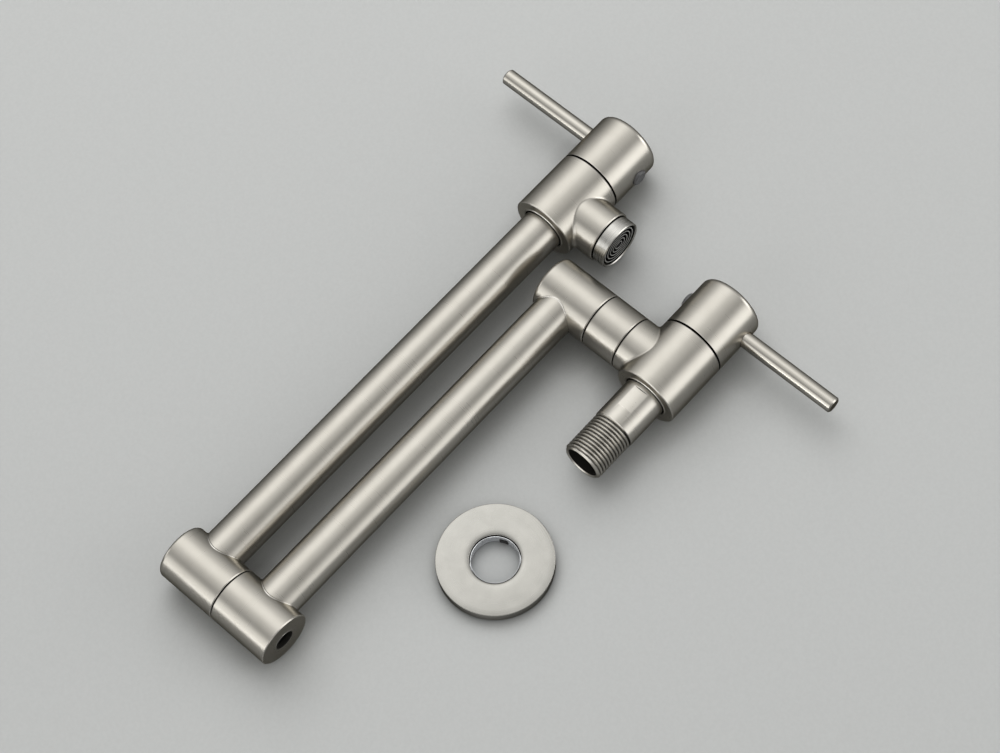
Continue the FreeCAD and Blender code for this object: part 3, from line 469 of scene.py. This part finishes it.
# The aerator ring's coarse brushing, and the sleeve's chrome: how metallic, how fine, and its relief
RING_FINENESS = 1500.0
RING_RELIEF = 0.12
CHROME_METAL = 0.6
CHROME_FINENESS = 2500.0
CHROME_RELIEF = 0.05

# How near to its line the cover plate counts as its hole, inside which shade is painted
PLATE_HOLE = 0.01186

# The finish of each visible node. The others have their material slot's own finish.
NODE_FINISH = {
    "inlet_valve_body": "inlet", "inlet_nipple": "inlet", "inlet_cap": "inlet",
    "outlet_valve_body": "outlet", "outlet_cap": "outlet", "outer_tube": "outlet",
    "inner_tube": "inner tube",
    "swivel_collar": "swivel", "elbow_barrel": "swivel",
    "lower_barrel": "knuckle", "upper_barrel": "knuckle", "knuckle_screw": "knuckle screw",
    "escutcheon_plate": "cover plate",
    "inlet_lever": "inlet lever", "outlet_lever": "outlet lever",
    "inlet_plug": "plug", "outlet_plug": "plug",
    "aerator_housing": "aerator ring",
}


def nickel(name, line, rough=SATIN, **changes):
    """Satin nickel plating over a turned piece."""
    return turned_metal(name, line, NICKEL, rough, **changes)


def make_finishes():
    """Every finish of the tap, by its short name or by its material slot's name."""
    return {
        "inlet": nickel("satin nickel round the inlet", INLET_LINE, gap=VALVE_GAP,
                        seam=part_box("inlet_cap")[0][0]),
        "outlet": nickel("satin nickel round the outlet", OUTLET_LINE, gap=VALVE_GAP,
                         seam=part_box("outlet_cap")[0][0]),
        "inner tube": nickel("satin nickel round the inner tube", INNER_TUBE_LINE),
        "swivel": nickel("satin nickel round the swivel", SWIVEL_LINE, gap=BARREL_GAP),
        # Painted shade within the recess's radius round the knuckle's line, which also darkens the upper
        # barrel's closed top
        "knuckle": nickel("satin nickel round the knuckle", KNUCKLE_LINE, gap=BARREL_GAP,
                          hollow=RECESS_RADIUS),
        "inlet lever": nickel("satin nickel round the inlet lever", INLET_LEVER_LINE, POLISHED),
        "outlet lever": nickel("satin nickel round the outlet lever", OUTLET_LEVER_LINE, POLISHED),
        # Painted shade inside the nipple's bore
        "thread": turned_metal("satin nickel of the thread", INLET_LINE, THREAD_NICKEL, SATIN,
                               gap=THREAD_GAP, hollow=BORE_RADIUS + BORE_MARGIN),
        "seam bead": turned_metal("bright nickel of the seams", KNUCKLE_LINE, BEAD_NICKEL, POLISHED),
        "cover plate": turned_metal("satin nickel round the cover plate", PLATE_LINE, PLATE_NICKEL,
                                    PLATE_SATIN, gap=BARREL_GAP, hollow=PLATE_HOLE),
        "aerator ring": turned_metal("brushed nickel of the aerator ring", SPOUT_LINE, COOL_NICKEL, BRUSHED,
                                     RING_FINENESS, RING_RELIEF),
        "plug": grained("dark grey plastic of the plugs", PLUG_GREY, SMOOTH_MOULDED),
        "knuckle screw": grained("steel of the knuckle screw, dark as painted shade", RECESS_SHADE_STEEL, MOULDED, 1.0),
        "ribbed resin": ribbed_resin("ribbed grey resin", RIB_GREY, MOULDED),
        "aerator_resin": grained("moulded grey resin", RESIN_GREY, MOULDED),
        "chrome": grained("bright chrome", CHROME, MIRROR, CHROME_METAL, CHROME_FINENESS, CHROME_RELIEF),
        "brass": turned_metal("turned brass", INLET_LINE, BRASS, TURNED_BRASS),
        "steel": turned_metal("plain steel", KNUCKLE_LINE, STEEL, PLAIN_STEEL),
        "rubber": grained("black rubber", RUBBER, MATT_RUBBER),
        "ceramic": grained("lapped ceramic", CERAMIC, LAPPED),
        "dark_plastic": grained("black plastic", BLACK_PLASTIC, MATT_PLASTIC),
    }


def dress_nodes(finishes):
    """Gives every node of the frame the material that the real piece has."""
    slots = {part["node"]: part["material_slot"] for part in frame["record"]["subparts"]}
    for name, node in frame["nodes"].items():
        for slot in node.material_slots:
            slot.material = finishes[NODE_FINISH.get(name, slots[name])]


# Points nearer than this are one point
MERGE_DISTANCE = 0.000001
SPECK = 0.001
TURN_STEPS = 96


def select_only(piece):
    """Selects one piece and makes it the active one."""
    bpy.ops.object.select_all(action="DESELECT")
    piece.select_set(True)
    bpy.context.view_layer.objects.active = piece


def draw_outline(name, line, points):
    """Draws an outline beside a turning line, point by point. A point is (along the line, away from it)."""
    place, axis = (Vector(part) for part in line)
    away = Vector(ALONG_X) if tuple(axis) == ALONG_Z else Vector(ALONG_Z)
    corners = [place + axis * along + away * radius for along, radius in points]
    bpy.ops.object.select_all(action="DESELECT")
    bpy.ops.mesh.primitive_plane_add(size=SPECK, location=corners[0])
    piece = bpy.context.object
    piece.name = name
    bpy.ops.object.transform_apply(location=True, rotation=True, scale=True)
    bpy.ops.object.mode_set(mode="EDIT")
    bpy.ops.mesh.select_mode(type="VERT")
    bpy.ops.mesh.select_all(action="SELECT")
    bpy.ops.mesh.merge(type="CENTER")
    for corner, following in zip(corners, corners[1:]):
        bpy.ops.mesh.extrude_region_move(TRANSFORM_OT_translate={"value": following - corner})
    bpy.ops.object.mode_set(mode="OBJECT")
    return piece


def clean_shell(piece):
    """Closes the seams of a turned shell and points its faces outwards."""
    select_only(piece)
    bpy.ops.object.mode_set(mode="EDIT")
    bpy.ops.mesh.select_all(action="SELECT")
    bpy.ops.mesh.remove_doubles(threshold=MERGE_DISTANCE)
    bpy.ops.mesh.normals_make_consistent(inside=False)
    bpy.ops.object.mode_set(mode="OBJECT")


def turned_piece(name, line, points, steps=TURN_STEPS):
    """A piece turned round a line from the outline of one side."""
    piece = draw_outline(name, line, points)
    bpy.ops.object.mode_set(mode="EDIT")
    bpy.ops.mesh.select_all(action="SELECT")
    bpy.ops.mesh.spin(steps=steps, angle=2 * math.pi, center=line[0], axis=line[1])
    bpy.ops.object.mode_set(mode="OBJECT")
    clean_shell(piece)
    return piece


def block(centre, size):
    """A block of a size round a place."""
    bpy.ops.object.select_all(action="DESELECT")
    bpy.ops.mesh.primitive_cube_add(size=1.0, location=centre, scale=size)
    bpy.ops.object.transform_apply(location=True, rotation=True, scale=True)
    return bpy.context.object


def combine(piece, operation, tool):
    """Cuts, joins or trims a piece with another one, which is used up."""
    cut = piece.modifiers.new("cut", "BOOLEAN")
    cut.operation = operation
    cut.solver = "EXACT"
    cut.object = tool
    select_only(piece)
    bpy.ops.object.modifier_apply(modifier=cut.name)
    bpy.data.objects.remove(tool, do_unlink=True)


def finish_piece(piece, body, material, smooth_angle, replaced=None):
    """Shades a piece, gives it its finish and hands it to its body, in place of a CAD node if it has one."""
    select_only(piece)
    bpy.ops.object.shade_smooth_by_angle(angle=math.radians(smooth_angle))
    piece.data.materials.clear()
    piece.data.materials.append(material)
    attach(piece, body)
    if replaced:
        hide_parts(replaced)


# The inlet nipple: half-inch pipe thread. A tooth's steps are (along the nipple, outwards), up to its middle
THREAD_PITCH = 0.001814
THREAD_ROOT = 0.009316
TOOTH_STEPS = [(0.000120, 0.000031), (0.000101, 0.000103), (0.000465, 0.000893),
               (0.000101, 0.000103), (0.000120, 0.000031)]
THREAD_STEPS = 72
THREAD_SPARE = 0.001
THREAD_RUN_IN = 0.002

# The thread is trimmed to this radius, and at the nipple's mouth it is bevelled down to a smaller one
TRIM_RADIUS = 0.0106
BEVEL_RADIUS = 0.00923
BEVEL_LENGTH = 0.00154

# Its smooth neck with two wrench flats, and its open bore
NIPPLE_MOUTH = -0.0221
NIPPLE_END = 0.0264
NECK_RADIUS = 0.0107
NECK_EDGE = 0.0002
FLAT_X = 0.0137
FLAT_Y = 0.01205
FLAT_CUTTER = (0.0118, 0.004, 0.03)
BORE_RADIUS = 0.0082
BORE_MARGIN = 0.0001
BORE_MOUTH = 0.0093
BORE_BEVEL = 0.0006
BORE_SPARE = 0.0005
NIPPLE_SMOOTH = 35.0


def screw_thread(start, end):
    """A solid right-hand thread along the inlet line, from one tooth that is screwed along it."""
    rise = [(0.0, THREAD_ROOT)]
    for along, away in TOOTH_STEPS + [(along, -away) for along, away in reversed(TOOTH_STEPS)]:
        rise.append((rise[-1][0] + along, rise[-1][1] + away))
    spare = 2 * THREAD_PITCH
    tooth = draw_outline("thread", INLET_LINE, [(start - spare + along, away) for along, away in rise])
    screw = tooth.modifiers.new("screw", "SCREW")
    screw.axis = "X"
    screw.angle = 2 * math.pi
    screw.screw_offset = THREAD_PITCH
    screw.iterations = math.ceil((end - start + 2 * spare) / THREAD_PITCH)
    screw.steps = THREAD_STEPS
    screw.render_steps = THREAD_STEPS
    screw.use_merge_vertices = True
    screw.merge_threshold = MERGE_DISTANCE
    bpy.ops.object.modifier_apply(modifier=screw.name)
    bpy.ops.object.mode_set(mode="EDIT")
    for place, direction in ((start, -1.0), (end, 1.0)):
        bpy.ops.mesh.select_all(action="SELECT")
        bpy.ops.mesh.bisect(plane_co=(place, 0.0, 0.0), plane_no=(direction, 0.0, 0.0),
                            use_fill=True, clear_outer=True)
    bpy.ops.object.mode_set(mode="OBJECT")
    clean_shell(tooth)
    return tooth


def threaded_nipple(material):
    """The threaded inlet nipple, in place of the plain one of the frame."""
    thread = screw_thread(NIPPLE_MOUTH - THREAD_SPARE, THREAD_RUN_IN)
    blank = turned_piece("blank", INLET_LINE, [
        (NIPPLE_MOUTH, 0.0), (NIPPLE_MOUTH, BEVEL_RADIUS), (NIPPLE_MOUTH + BEVEL_LENGTH, TRIM_RADIUS),
        (THREAD_SPARE, TRIM_RADIUS), (THREAD_SPARE, 0.0)])
    combine(thread, "INTERSECT", blank)
    edge_radius = NECK_RADIUS - NECK_EDGE
    neck = turned_piece("threaded_nipple", INLET_LINE, [
        (0.0, 0.0), (0.0, edge_radius), (NECK_EDGE, NECK_RADIUS),
        (NIPPLE_END - NECK_EDGE, NECK_RADIUS), (NIPPLE_END, edge_radius), (NIPPLE_END, 0.0)])
    for side in (-1.0, 1.0):
        combine(neck, "DIFFERENCE", block((FLAT_X, side * FLAT_Y, 0.0), FLAT_CUTTER))
    combine(neck, "UNION", thread)
    mouth = NIPPLE_MOUTH - BORE_SPARE
    behind = NIPPLE_END + THREAD_SPARE
    bore = turned_piece("bore", INLET_LINE, [
        (mouth, 0.0), (mouth, BORE_MOUTH), (NIPPLE_MOUTH + BORE_BEVEL, BORE_RADIUS),
        (behind, BORE_RADIUS), (behind, 0.0)])
    combine(neck, "DIFFERENCE", bore)
    finish_piece(neck, "inlet", material, NIPPLE_SMOOTH, "inlet_nipple")


# The soldered seams where a tube enters a barrel: name, body, tube's line and end, barrel's line
SEAMS = [
    ("lower_knuckle_bead", "inner_arm", INNER_TUBE_LINE, 1.0, KNUCKLE_LINE),
    ("elbow_bead", "inner_arm", INNER_TUBE_LINE, -1.0, SWIVEL_LINE),
    ("upper_knuckle_bead", "outer_arm", OUTLET_LINE, 1.0, KNUCKLE_LINE),
]
TUBE_RADIUS = 0.01054
BARREL_RADIUS = 0.01375

# A bead stands proud of tube and barrel by its rise and reaches into them by its root. It is cut from a
# sleeve round the tube that starts and ends this far from the barrel's line, by two plugs of the barrel.
BEAD_RISE = 0.0003
BEAD_ROOT = 0.0003
BEAD_STARTS = 0.004
BEAD_ENDS = 0.018
OUTER_PLUG_HALF = 0.014
INNER_PLUG_HALF = 0.015
BEAD_STEPS = 128
BEAD_ROUND = 0.00022
BEAD_SEGMENTS = 3
BEAD_CORNER = 50.0
BEAD_SMOOTH = 40.0


def barrel_plug(name, line, height, half, radius):
    """A plain plug round a barrel's line, half above a height and half below it."""
    low, high = height - half, height + half
    return turned_piece(name, line, [(low, 0.0), (low, radius), (high, radius), (high, 0.0)], BEAD_STEPS)


def seam_bead(name, body, tube_line, side, barrel_line, material):
    """The thin bright bead that runs round a tube where it enters a barrel."""
    centre = barrel_line[0][0]
    height = tube_line[0][2]
    start, end = centre + side * BEAD_STARTS, centre + side * BEAD_ENDS
    low, high = TUBE_RADIUS - BEAD_ROOT, TUBE_RADIUS + BEAD_RISE
    bead = turned_piece(name, tube_line, [(start, low), (start, high), (end, high), (end, low), (start, low)],
                        BEAD_STEPS)
    combine(bead, "INTERSECT",
            barrel_plug("outside", barrel_line, height, OUTER_PLUG_HALF, BARREL_RADIUS + BEAD_RISE))
    combine(bead, "DIFFERENCE",
            barrel_plug("inside", barrel_line, height, INNER_PLUG_HALF, BARREL_RADIUS - BEAD_ROOT))
    rounding = bead.modifiers.new("rounding", "BEVEL")
    rounding.width = BEAD_ROUND
    rounding.segments = BEAD_SEGMENTS
    rounding.limit_method = "ANGLE"
    rounding.angle_limit = math.radians(BEAD_CORNER)
    select_only(bead)
    bpy.ops.object.modifier_apply(modifier=rounding.name)
    finish_piece(bead, body, material, BEAD_SMOOTH)


# The aerator's insert: (depth behind the face of its ribs, distance from the spout's line)
AERATOR_LINE = ((SPOUT_X, 0.0, RIB_FACE), ALONG_Z)
INSERT_RADIUS = 0.0112
GROOVE_DEPTH = 0.0016
DISH_OUTLINE = [(0.0087, 0.0), (0.0087, 0.00805), (0.0032, 0.00805), (0.0032, INSERT_RADIUS),
                (GROOVE_DEPTH, INSERT_RADIUS)]
HUB_OUTLINE = [(GROOVE_DEPTH, 0.0015), (0.0004, 0.0012), (0.0002, 0.0009), (0.0002, 0.0)]

# Its ribs' radii, half a rib's width at its face, and how far a rib's sides lean out
INSERT_RINGS = [0.0098, 0.0079, 0.0060, 0.0041, 0.0022]
RING_HALF = 0.00024
RING_SLOPE = 0.00012

# Its spokes, which cross the grooves below the ribs' face
SPOKES = 10
SPOKE_START = 0.0012
SPOKE_DEPTH = 0.0014
SPOKE_WIDTH = 0.0004
SPOKE_HEIGHT = 0.0014
SPOKE_EDGE = 0.00008
INSERT_SMOOTH = 35.0


def ribbed_insert(material):
    """The aerator's insert: a dish with thin concentric ribs, crossed by lower spokes."""
    points = list(DISH_OUTLINE)
    for radius in INSERT_RINGS:
        outer, inner = radius + RING_HALF, radius - RING_HALF
        points += [(GROOVE_DEPTH, outer + RING_SLOPE), (RING_SLOPE, outer), (0.0, outer - RING_SLOPE),
                   (0.0, inner + RING_SLOPE), (RING_SLOPE, inner), (GROOVE_DEPTH, inner - RING_SLOPE)]
    insert = turned_piece("ribbed_insert", AERATOR_LINE, points + HUB_OUTLINE)
    spoke_length = INSERT_RINGS[0] - SPOKE_START
    spoke_middle = SPOUT_X + SPOKE_START + spoke_length / 2
    for index in range(SPOKES):
        block((spoke_middle, 0.0, RIB_FACE + SPOKE_DEPTH), (spoke_length, SPOKE_WIDTH, SPOKE_HEIGHT))
        bpy.ops.object.mode_set(mode="EDIT")
        bpy.ops.mesh.select_all(action="SELECT")
        bpy.ops.mesh.bevel(offset=SPOKE_EDGE, segments=1, affect="EDGES")
        bpy.ops.object.mode_set(mode="OBJECT")
        bpy.ops.transform.rotate(value=index * 2 * math.pi / SPOKES, orient_axis="Z", orient_type="GLOBAL",
                                 center_override=AERATOR_LINE[0])
        bpy.ops.object.transform_apply(location=True, rotation=True, scale=True)
        insert.select_set(True)
        bpy.context.view_layer.objects.active = insert
        bpy.ops.object.join()
    finish_piece(insert, "outer_arm", material, INSERT_SMOOTH, "aerator_insert")


# The loose cover plate and its bright sleeve: (height over the table, distance from the middle)
PLATE_OUTLINE = [
    (0.00090, 0.02570), (0.00090, 0.02705), (0.00105, 0.02720), (0.00608, 0.02720), (0.00622, 0.02714),
    (0.00630, 0.02702), (0.00633, 0.02690), (0.00646, 0.02420), (0.00660, 0.02100), (0.00670, 0.01800),
    (0.00674, 0.01550), (0.00673, 0.01430), (0.00667, 0.01340), (0.00656, 0.01270), (0.00641, 0.01220),
    (0.00626, 0.01190), (0.00614, 0.01174), (0.00606, 0.01170), (0.00400, 0.01170), (0.00400, 0.01325),
    (0.00510, 0.01440), (0.00520, 0.02570),
]
SLEEVE_OUTLINE = [
    (0.00030, 0.01110), (0.00030, 0.01270), (0.00380, 0.01270), (0.00380, 0.01138), (0.00562, 0.01138),
    (0.00574, 0.01130), (0.00574, 0.01120), (0.00564, 0.01110),
]
PLATE_STEPS = 160
PLATE_SMOOTH = 32.0


def laid_ring(name, outline, material, replaced):
    """A ring turned round the cover plate's line, lying on the table."""
    points = [(VALVE_RADIUS - height, away) for height, away in outline + outline[:1]]
    ring = turned_piece(name, PLATE_LINE, points, PLATE_STEPS)
    finish_piece(ring, "cover_plate", material, PLATE_SMOOTH, replaced)


def cover_plate_face(material):
    """The cover plate: a slightly crowned sheet, bent down round its hole and at its edge."""
    laid_ring("cover_plate_face", PLATE_OUTLINE, material, "escutcheon_plate")


def bright_sleeve(material):
    """The bright sleeve that shows inside the cover plate's hole."""
    laid_ring("bright_sleeve", SLEEVE_OUTLINE, material, "escutcheon_liner")


# The recess under the knuckle, in which its screw sits, and the rim round it
RECESS_RADIUS = 0.00508
RIM_HALF = 0.00022
RIM_RISE = 0.00010
RIM_OVERHANG = 0.00006
RIM_SMOOTH = 60.0


def recess_rim(material):
    """The thin bright rim round the recess under the knuckle."""
    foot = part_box("lower_barrel")[0][2]
    inner, outer = RECESS_RADIUS - RIM_OVERHANG, RECESS_RADIUS + 2 * RIM_HALF
    rim = turned_piece("recess_rim", KNUCKLE_LINE, [
        (foot + RIM_RISE, inner), (foot + RIM_RISE, outer), (foot - RIM_RISE / 2, outer - RIM_HALF / 2),
        (foot - RIM_RISE, inner + RIM_HALF), (foot - RIM_RISE / 2, inner), (foot + RIM_RISE, inner)])
    finish_piece(rim, "inner_arm", material, RIM_SMOOTH)


def model_pieces(finishes):
    """The pieces whose relief is too fine for the frame's solids."""
    threaded_nipple(finishes["thread"])
    ribbed_insert(finishes["ribbed resin"])
    cover_plate_face(finishes["cover plate"])
    bright_sleeve(finishes["chrome"])
    recess_rim(finishes["seam bead"])
    for name, body, tube_line, tube_end, barrel_line in SEAMS:
        seam_bead(name, body, tube_line, tube_end, barrel_line, finishes["seam bead"])


# The table: its two tones, and the painted shadow where the tap covers it closely. A place looks COVER_REACH
# far for what covers it, and the painted shadow darkens it from COVER_STARTS, how open it is there, to
# COVER_FULL.
TABLE_SIZE = 5.0
TABLE_TONES = ((0.588, 0.601, 0.604), (0.608, 0.621, 0.624))
TABLE_SPECKLE = 700.0
TABLE_ROUGHNESS = 0.7
TABLE_SHINE = 0.2
TABLE_PAINTED_SHADOW = (0.12, 0.125, 0.125)
COVER_REACH = 0.020
COVER_STARTS = 0.86
COVER_FULL = 0.0

# The photograph's metal mirrors a darker surround than the table that the camera sees
# Painted shade in reflections: the metal mirrors the table darker than the camera sees it
TABLE_IN_METAL = (0.235, 0.24, 0.24)


def lay_table():
    """A pale table under the tap. Seen from behind it lets the eye through."""
    bpy.ops.object.select_all(action="DESELECT")
    bpy.ops.mesh.primitive_plane_add(size=TABLE_SIZE, location=(0.0, TABLE_Y, 0.0),
                                     rotation=(math.pi / 2, 0.0, 0.0))
    table = bpy.context.object
    table.name = "table"
    bpy.ops.object.transform_apply(location=True, rotation=True, scale=True)
    material, nodes, shader, coordinates = new_material("pale table")
    speckle = nodes.noise(coordinates, TABLE_SPECKLE)
    seen = two_tone(nodes, nodes.remap(speckle, *MARK_SPREAD, 0.0, 1.0), *TABLE_TONES)
    # Painted shadow: the table darkens where the tap covers it closely
    covered = nodes.group(SHADED_GAPS, Reach=COVER_REACH, Starts=COVER_STARTS, Full=COVER_FULL)
    shaded = two_tone(nodes, covered.outputs["Mask"], seen, TABLE_PAINTED_SHADOW)
    path = nodes.add("ShaderNodeLightPath")
    nodes.wire(two_tone(nodes, path.outputs["Is Glossy Ray"], shaded, TABLE_IN_METAL), shader, "Base Color")
    shader.inputs["Roughness"].default_value = TABLE_ROUGHNESS
    shader.inputs["Specular IOR Level"].default_value = TABLE_SHINE
    clear = nodes.add("ShaderNodeBsdfTransparent")
    surface = nodes.add("ShaderNodeNewGeometry")
    choice = nodes.add("ShaderNodeMixShader")
    nodes.wire(surface.outputs["Backfacing"], choice, "Fac")
    nodes.wire(shader.outputs[0], choice, 1)
    nodes.wire(clear.outputs[0], choice, 2)
    output = next(node for node in nodes.tree.nodes if node.type == "OUTPUT_MATERIAL")
    nodes.wire(choice.outputs[0], output, "Surface")
    table.data.materials.append(material)
    table.visible_shadow = False


# Square soft lamps: name, direction, distance, width, brightness, colour
KEY_LAMP = ("key lamp", (0.341, -0.796, 0.500), 1.3, 1.2, 1.15, (1.0, 0.99, 0.97))
REAR_LAMP = ("rear lamp", (-0.2, 0.9, 0.35), 1.4, 1.2, 0.5, (1.0, 1.0, 1.0))

# Soft lamps that only the metal mirrors, seen from its other sides: direction, half angle in degrees,
# brightness
SIDE_LAMPS = [
    ((0.85, -0.34, -0.40), 11.0, 1.3),
    ((-0.64, -0.46, -0.61), 16.0, 1.2),
    ((-0.58, -0.24, 0.78), 11.0, 1.1),
    ((0.70, 0.68, -0.22), 14.0, 1.4),
    ((-0.68, 0.68, -0.26), 16.0, 1.4),
]
SIDE_DISTANCE = 1.3
SIDE_COLOUR = (1.0, 0.995, 0.98)

# Soft patches of light round the tap: direction, outer and inner half angle in degrees, strength
GLOWS = [
    ((0.289, -0.860, 0.421), 60.0, 0.4, 0.55),
    ((0.286, -0.822, 0.492), 28.5, 0.0, 0.51),
    ((0.630, -0.155, -0.761), 39.2, 11.8, 1.47),
    ((-0.975, -0.208, 0.078), 37.2, 0.0, 1.06),
    ((-0.969, -0.020, 0.244), 10.0, 0.0, 2.50),
]
ROOM_LIGHT = 0.318
ROOM_COLOUR = (1.0, 0.995, 0.97, 1.0)
BACKGROUND = (0.53, 0.545, 0.55, 1.0)


def soft_lamp(name, towards, distance, width, radiance, colour):
    """A square soft lamp that shines on the tap from a direction, as bright as radiance when looked at."""
    data = bpy.data.lights.new(name, "AREA")
    data.shape = "SQUARE"
    data.size = width
    data.energy = radiance * math.pi * width * width
    data.color = colour
    lamp = bpy.data.objects.new(name, data)
    bpy.context.scene.collection.objects.link(lamp)
    away = Vector(towards).normalized()
    lamp.location = away * distance
    lamp.rotation_euler = (-away).to_track_quat("-Z", "Y").to_euler()
    lamp.visible_camera = False
    return lamp


def soft_glow_group():
    """A soft patch of light in the room, round one direction.

    Outer and Inner are the cosines of the half angles where it ends and where it is full."""
    tree, nodes, given, out = new_group("soft glow", [
        ("Direction", "NodeSocketVector", None),
        ("Centre", "NodeSocketVector", None),
        ("Outer", "NodeSocketFloat", None),
        ("Inner", "NodeSocketFloat", None),
        ("Strength", "NodeSocketFloat", None),
    ], ["Light"])
    match = nodes.vector_maths("DOT_PRODUCT", given.outputs["Direction"], given.outputs["Centre"])
    fall = nodes.add("ShaderNodeMapRange", interpolation_type="SMOOTHSTEP")
    nodes.wire(match, fall, "Value")
    nodes.wire(given.outputs["Outer"], fall, "From Min")
    nodes.wire(given.outputs["Inner"], fall, "From Max")
    nodes.wire(nodes.maths("MULTIPLY", fall.outputs["Result"], given.outputs["Strength"]), out, "Light")
    return tree


def light_room():
    """A large soft lamp above the table, and a dim room with the soft pale patches that the metal mirrors."""
    key = soft_lamp(*KEY_LAMP)
    key.visible_glossy = False
    soft_lamp(*REAR_LAMP)
    for number, (towards, half_angle, radiance) in enumerate(SIDE_LAMPS):
        width = 2 * SIDE_DISTANCE * math.tan(math.radians(half_angle))
        side = soft_lamp(f"side lamp {number}", towards, SIDE_DISTANCE, width, radiance, SIDE_COLOUR)
        side.visible_diffuse = False
    world = bpy.data.worlds.new("room")
    bpy.context.scene.world = world
    world.use_nodes = True
    nodes = Nodes(world.node_tree)
    direction = nodes.add("ShaderNodeTexCoord").outputs["Generated"]
    glow_tree = soft_glow_group()
    light = ROOM_LIGHT
    for centre, outer, inner, strength in GLOWS:
        glow = nodes.group(glow_tree, Centre=centre, Outer=math.cos(math.radians(outer)),
                           Inner=math.cos(math.radians(inner)), Strength=strength)
        nodes.wire(direction, glow, "Direction")
        light = nodes.maths("ADD", glow.outputs["Light"], light)
    room = nodes.add("ShaderNodeBackground")
    room.inputs["Color"].default_value = ROOM_COLOUR
    nodes.wire(light, room, "Strength")
    seen = nodes.add("ShaderNodeBackground")
    seen.inputs["Color"].default_value = BACKGROUND
    path = nodes.add("ShaderNodeLightPath")
    choice = nodes.add("ShaderNodeMixShader")
    output = nodes.add("ShaderNodeOutputWorld")
    nodes.wire(path.outputs["Is Camera Ray"], choice, "Fac")
    nodes.wire(room.outputs[0], choice, 1)
    nodes.wire(seen.outputs[0], choice, 2)
    nodes.wire(choice.outputs[0], output, "Surface")
    bpy.context.scene.view_settings.view_transform = "Standard"


lay_camera()
made_finishes = make_finishes()
dress_nodes(made_finishes)
model_pieces(made_finishes)
lay_table()
light_room()
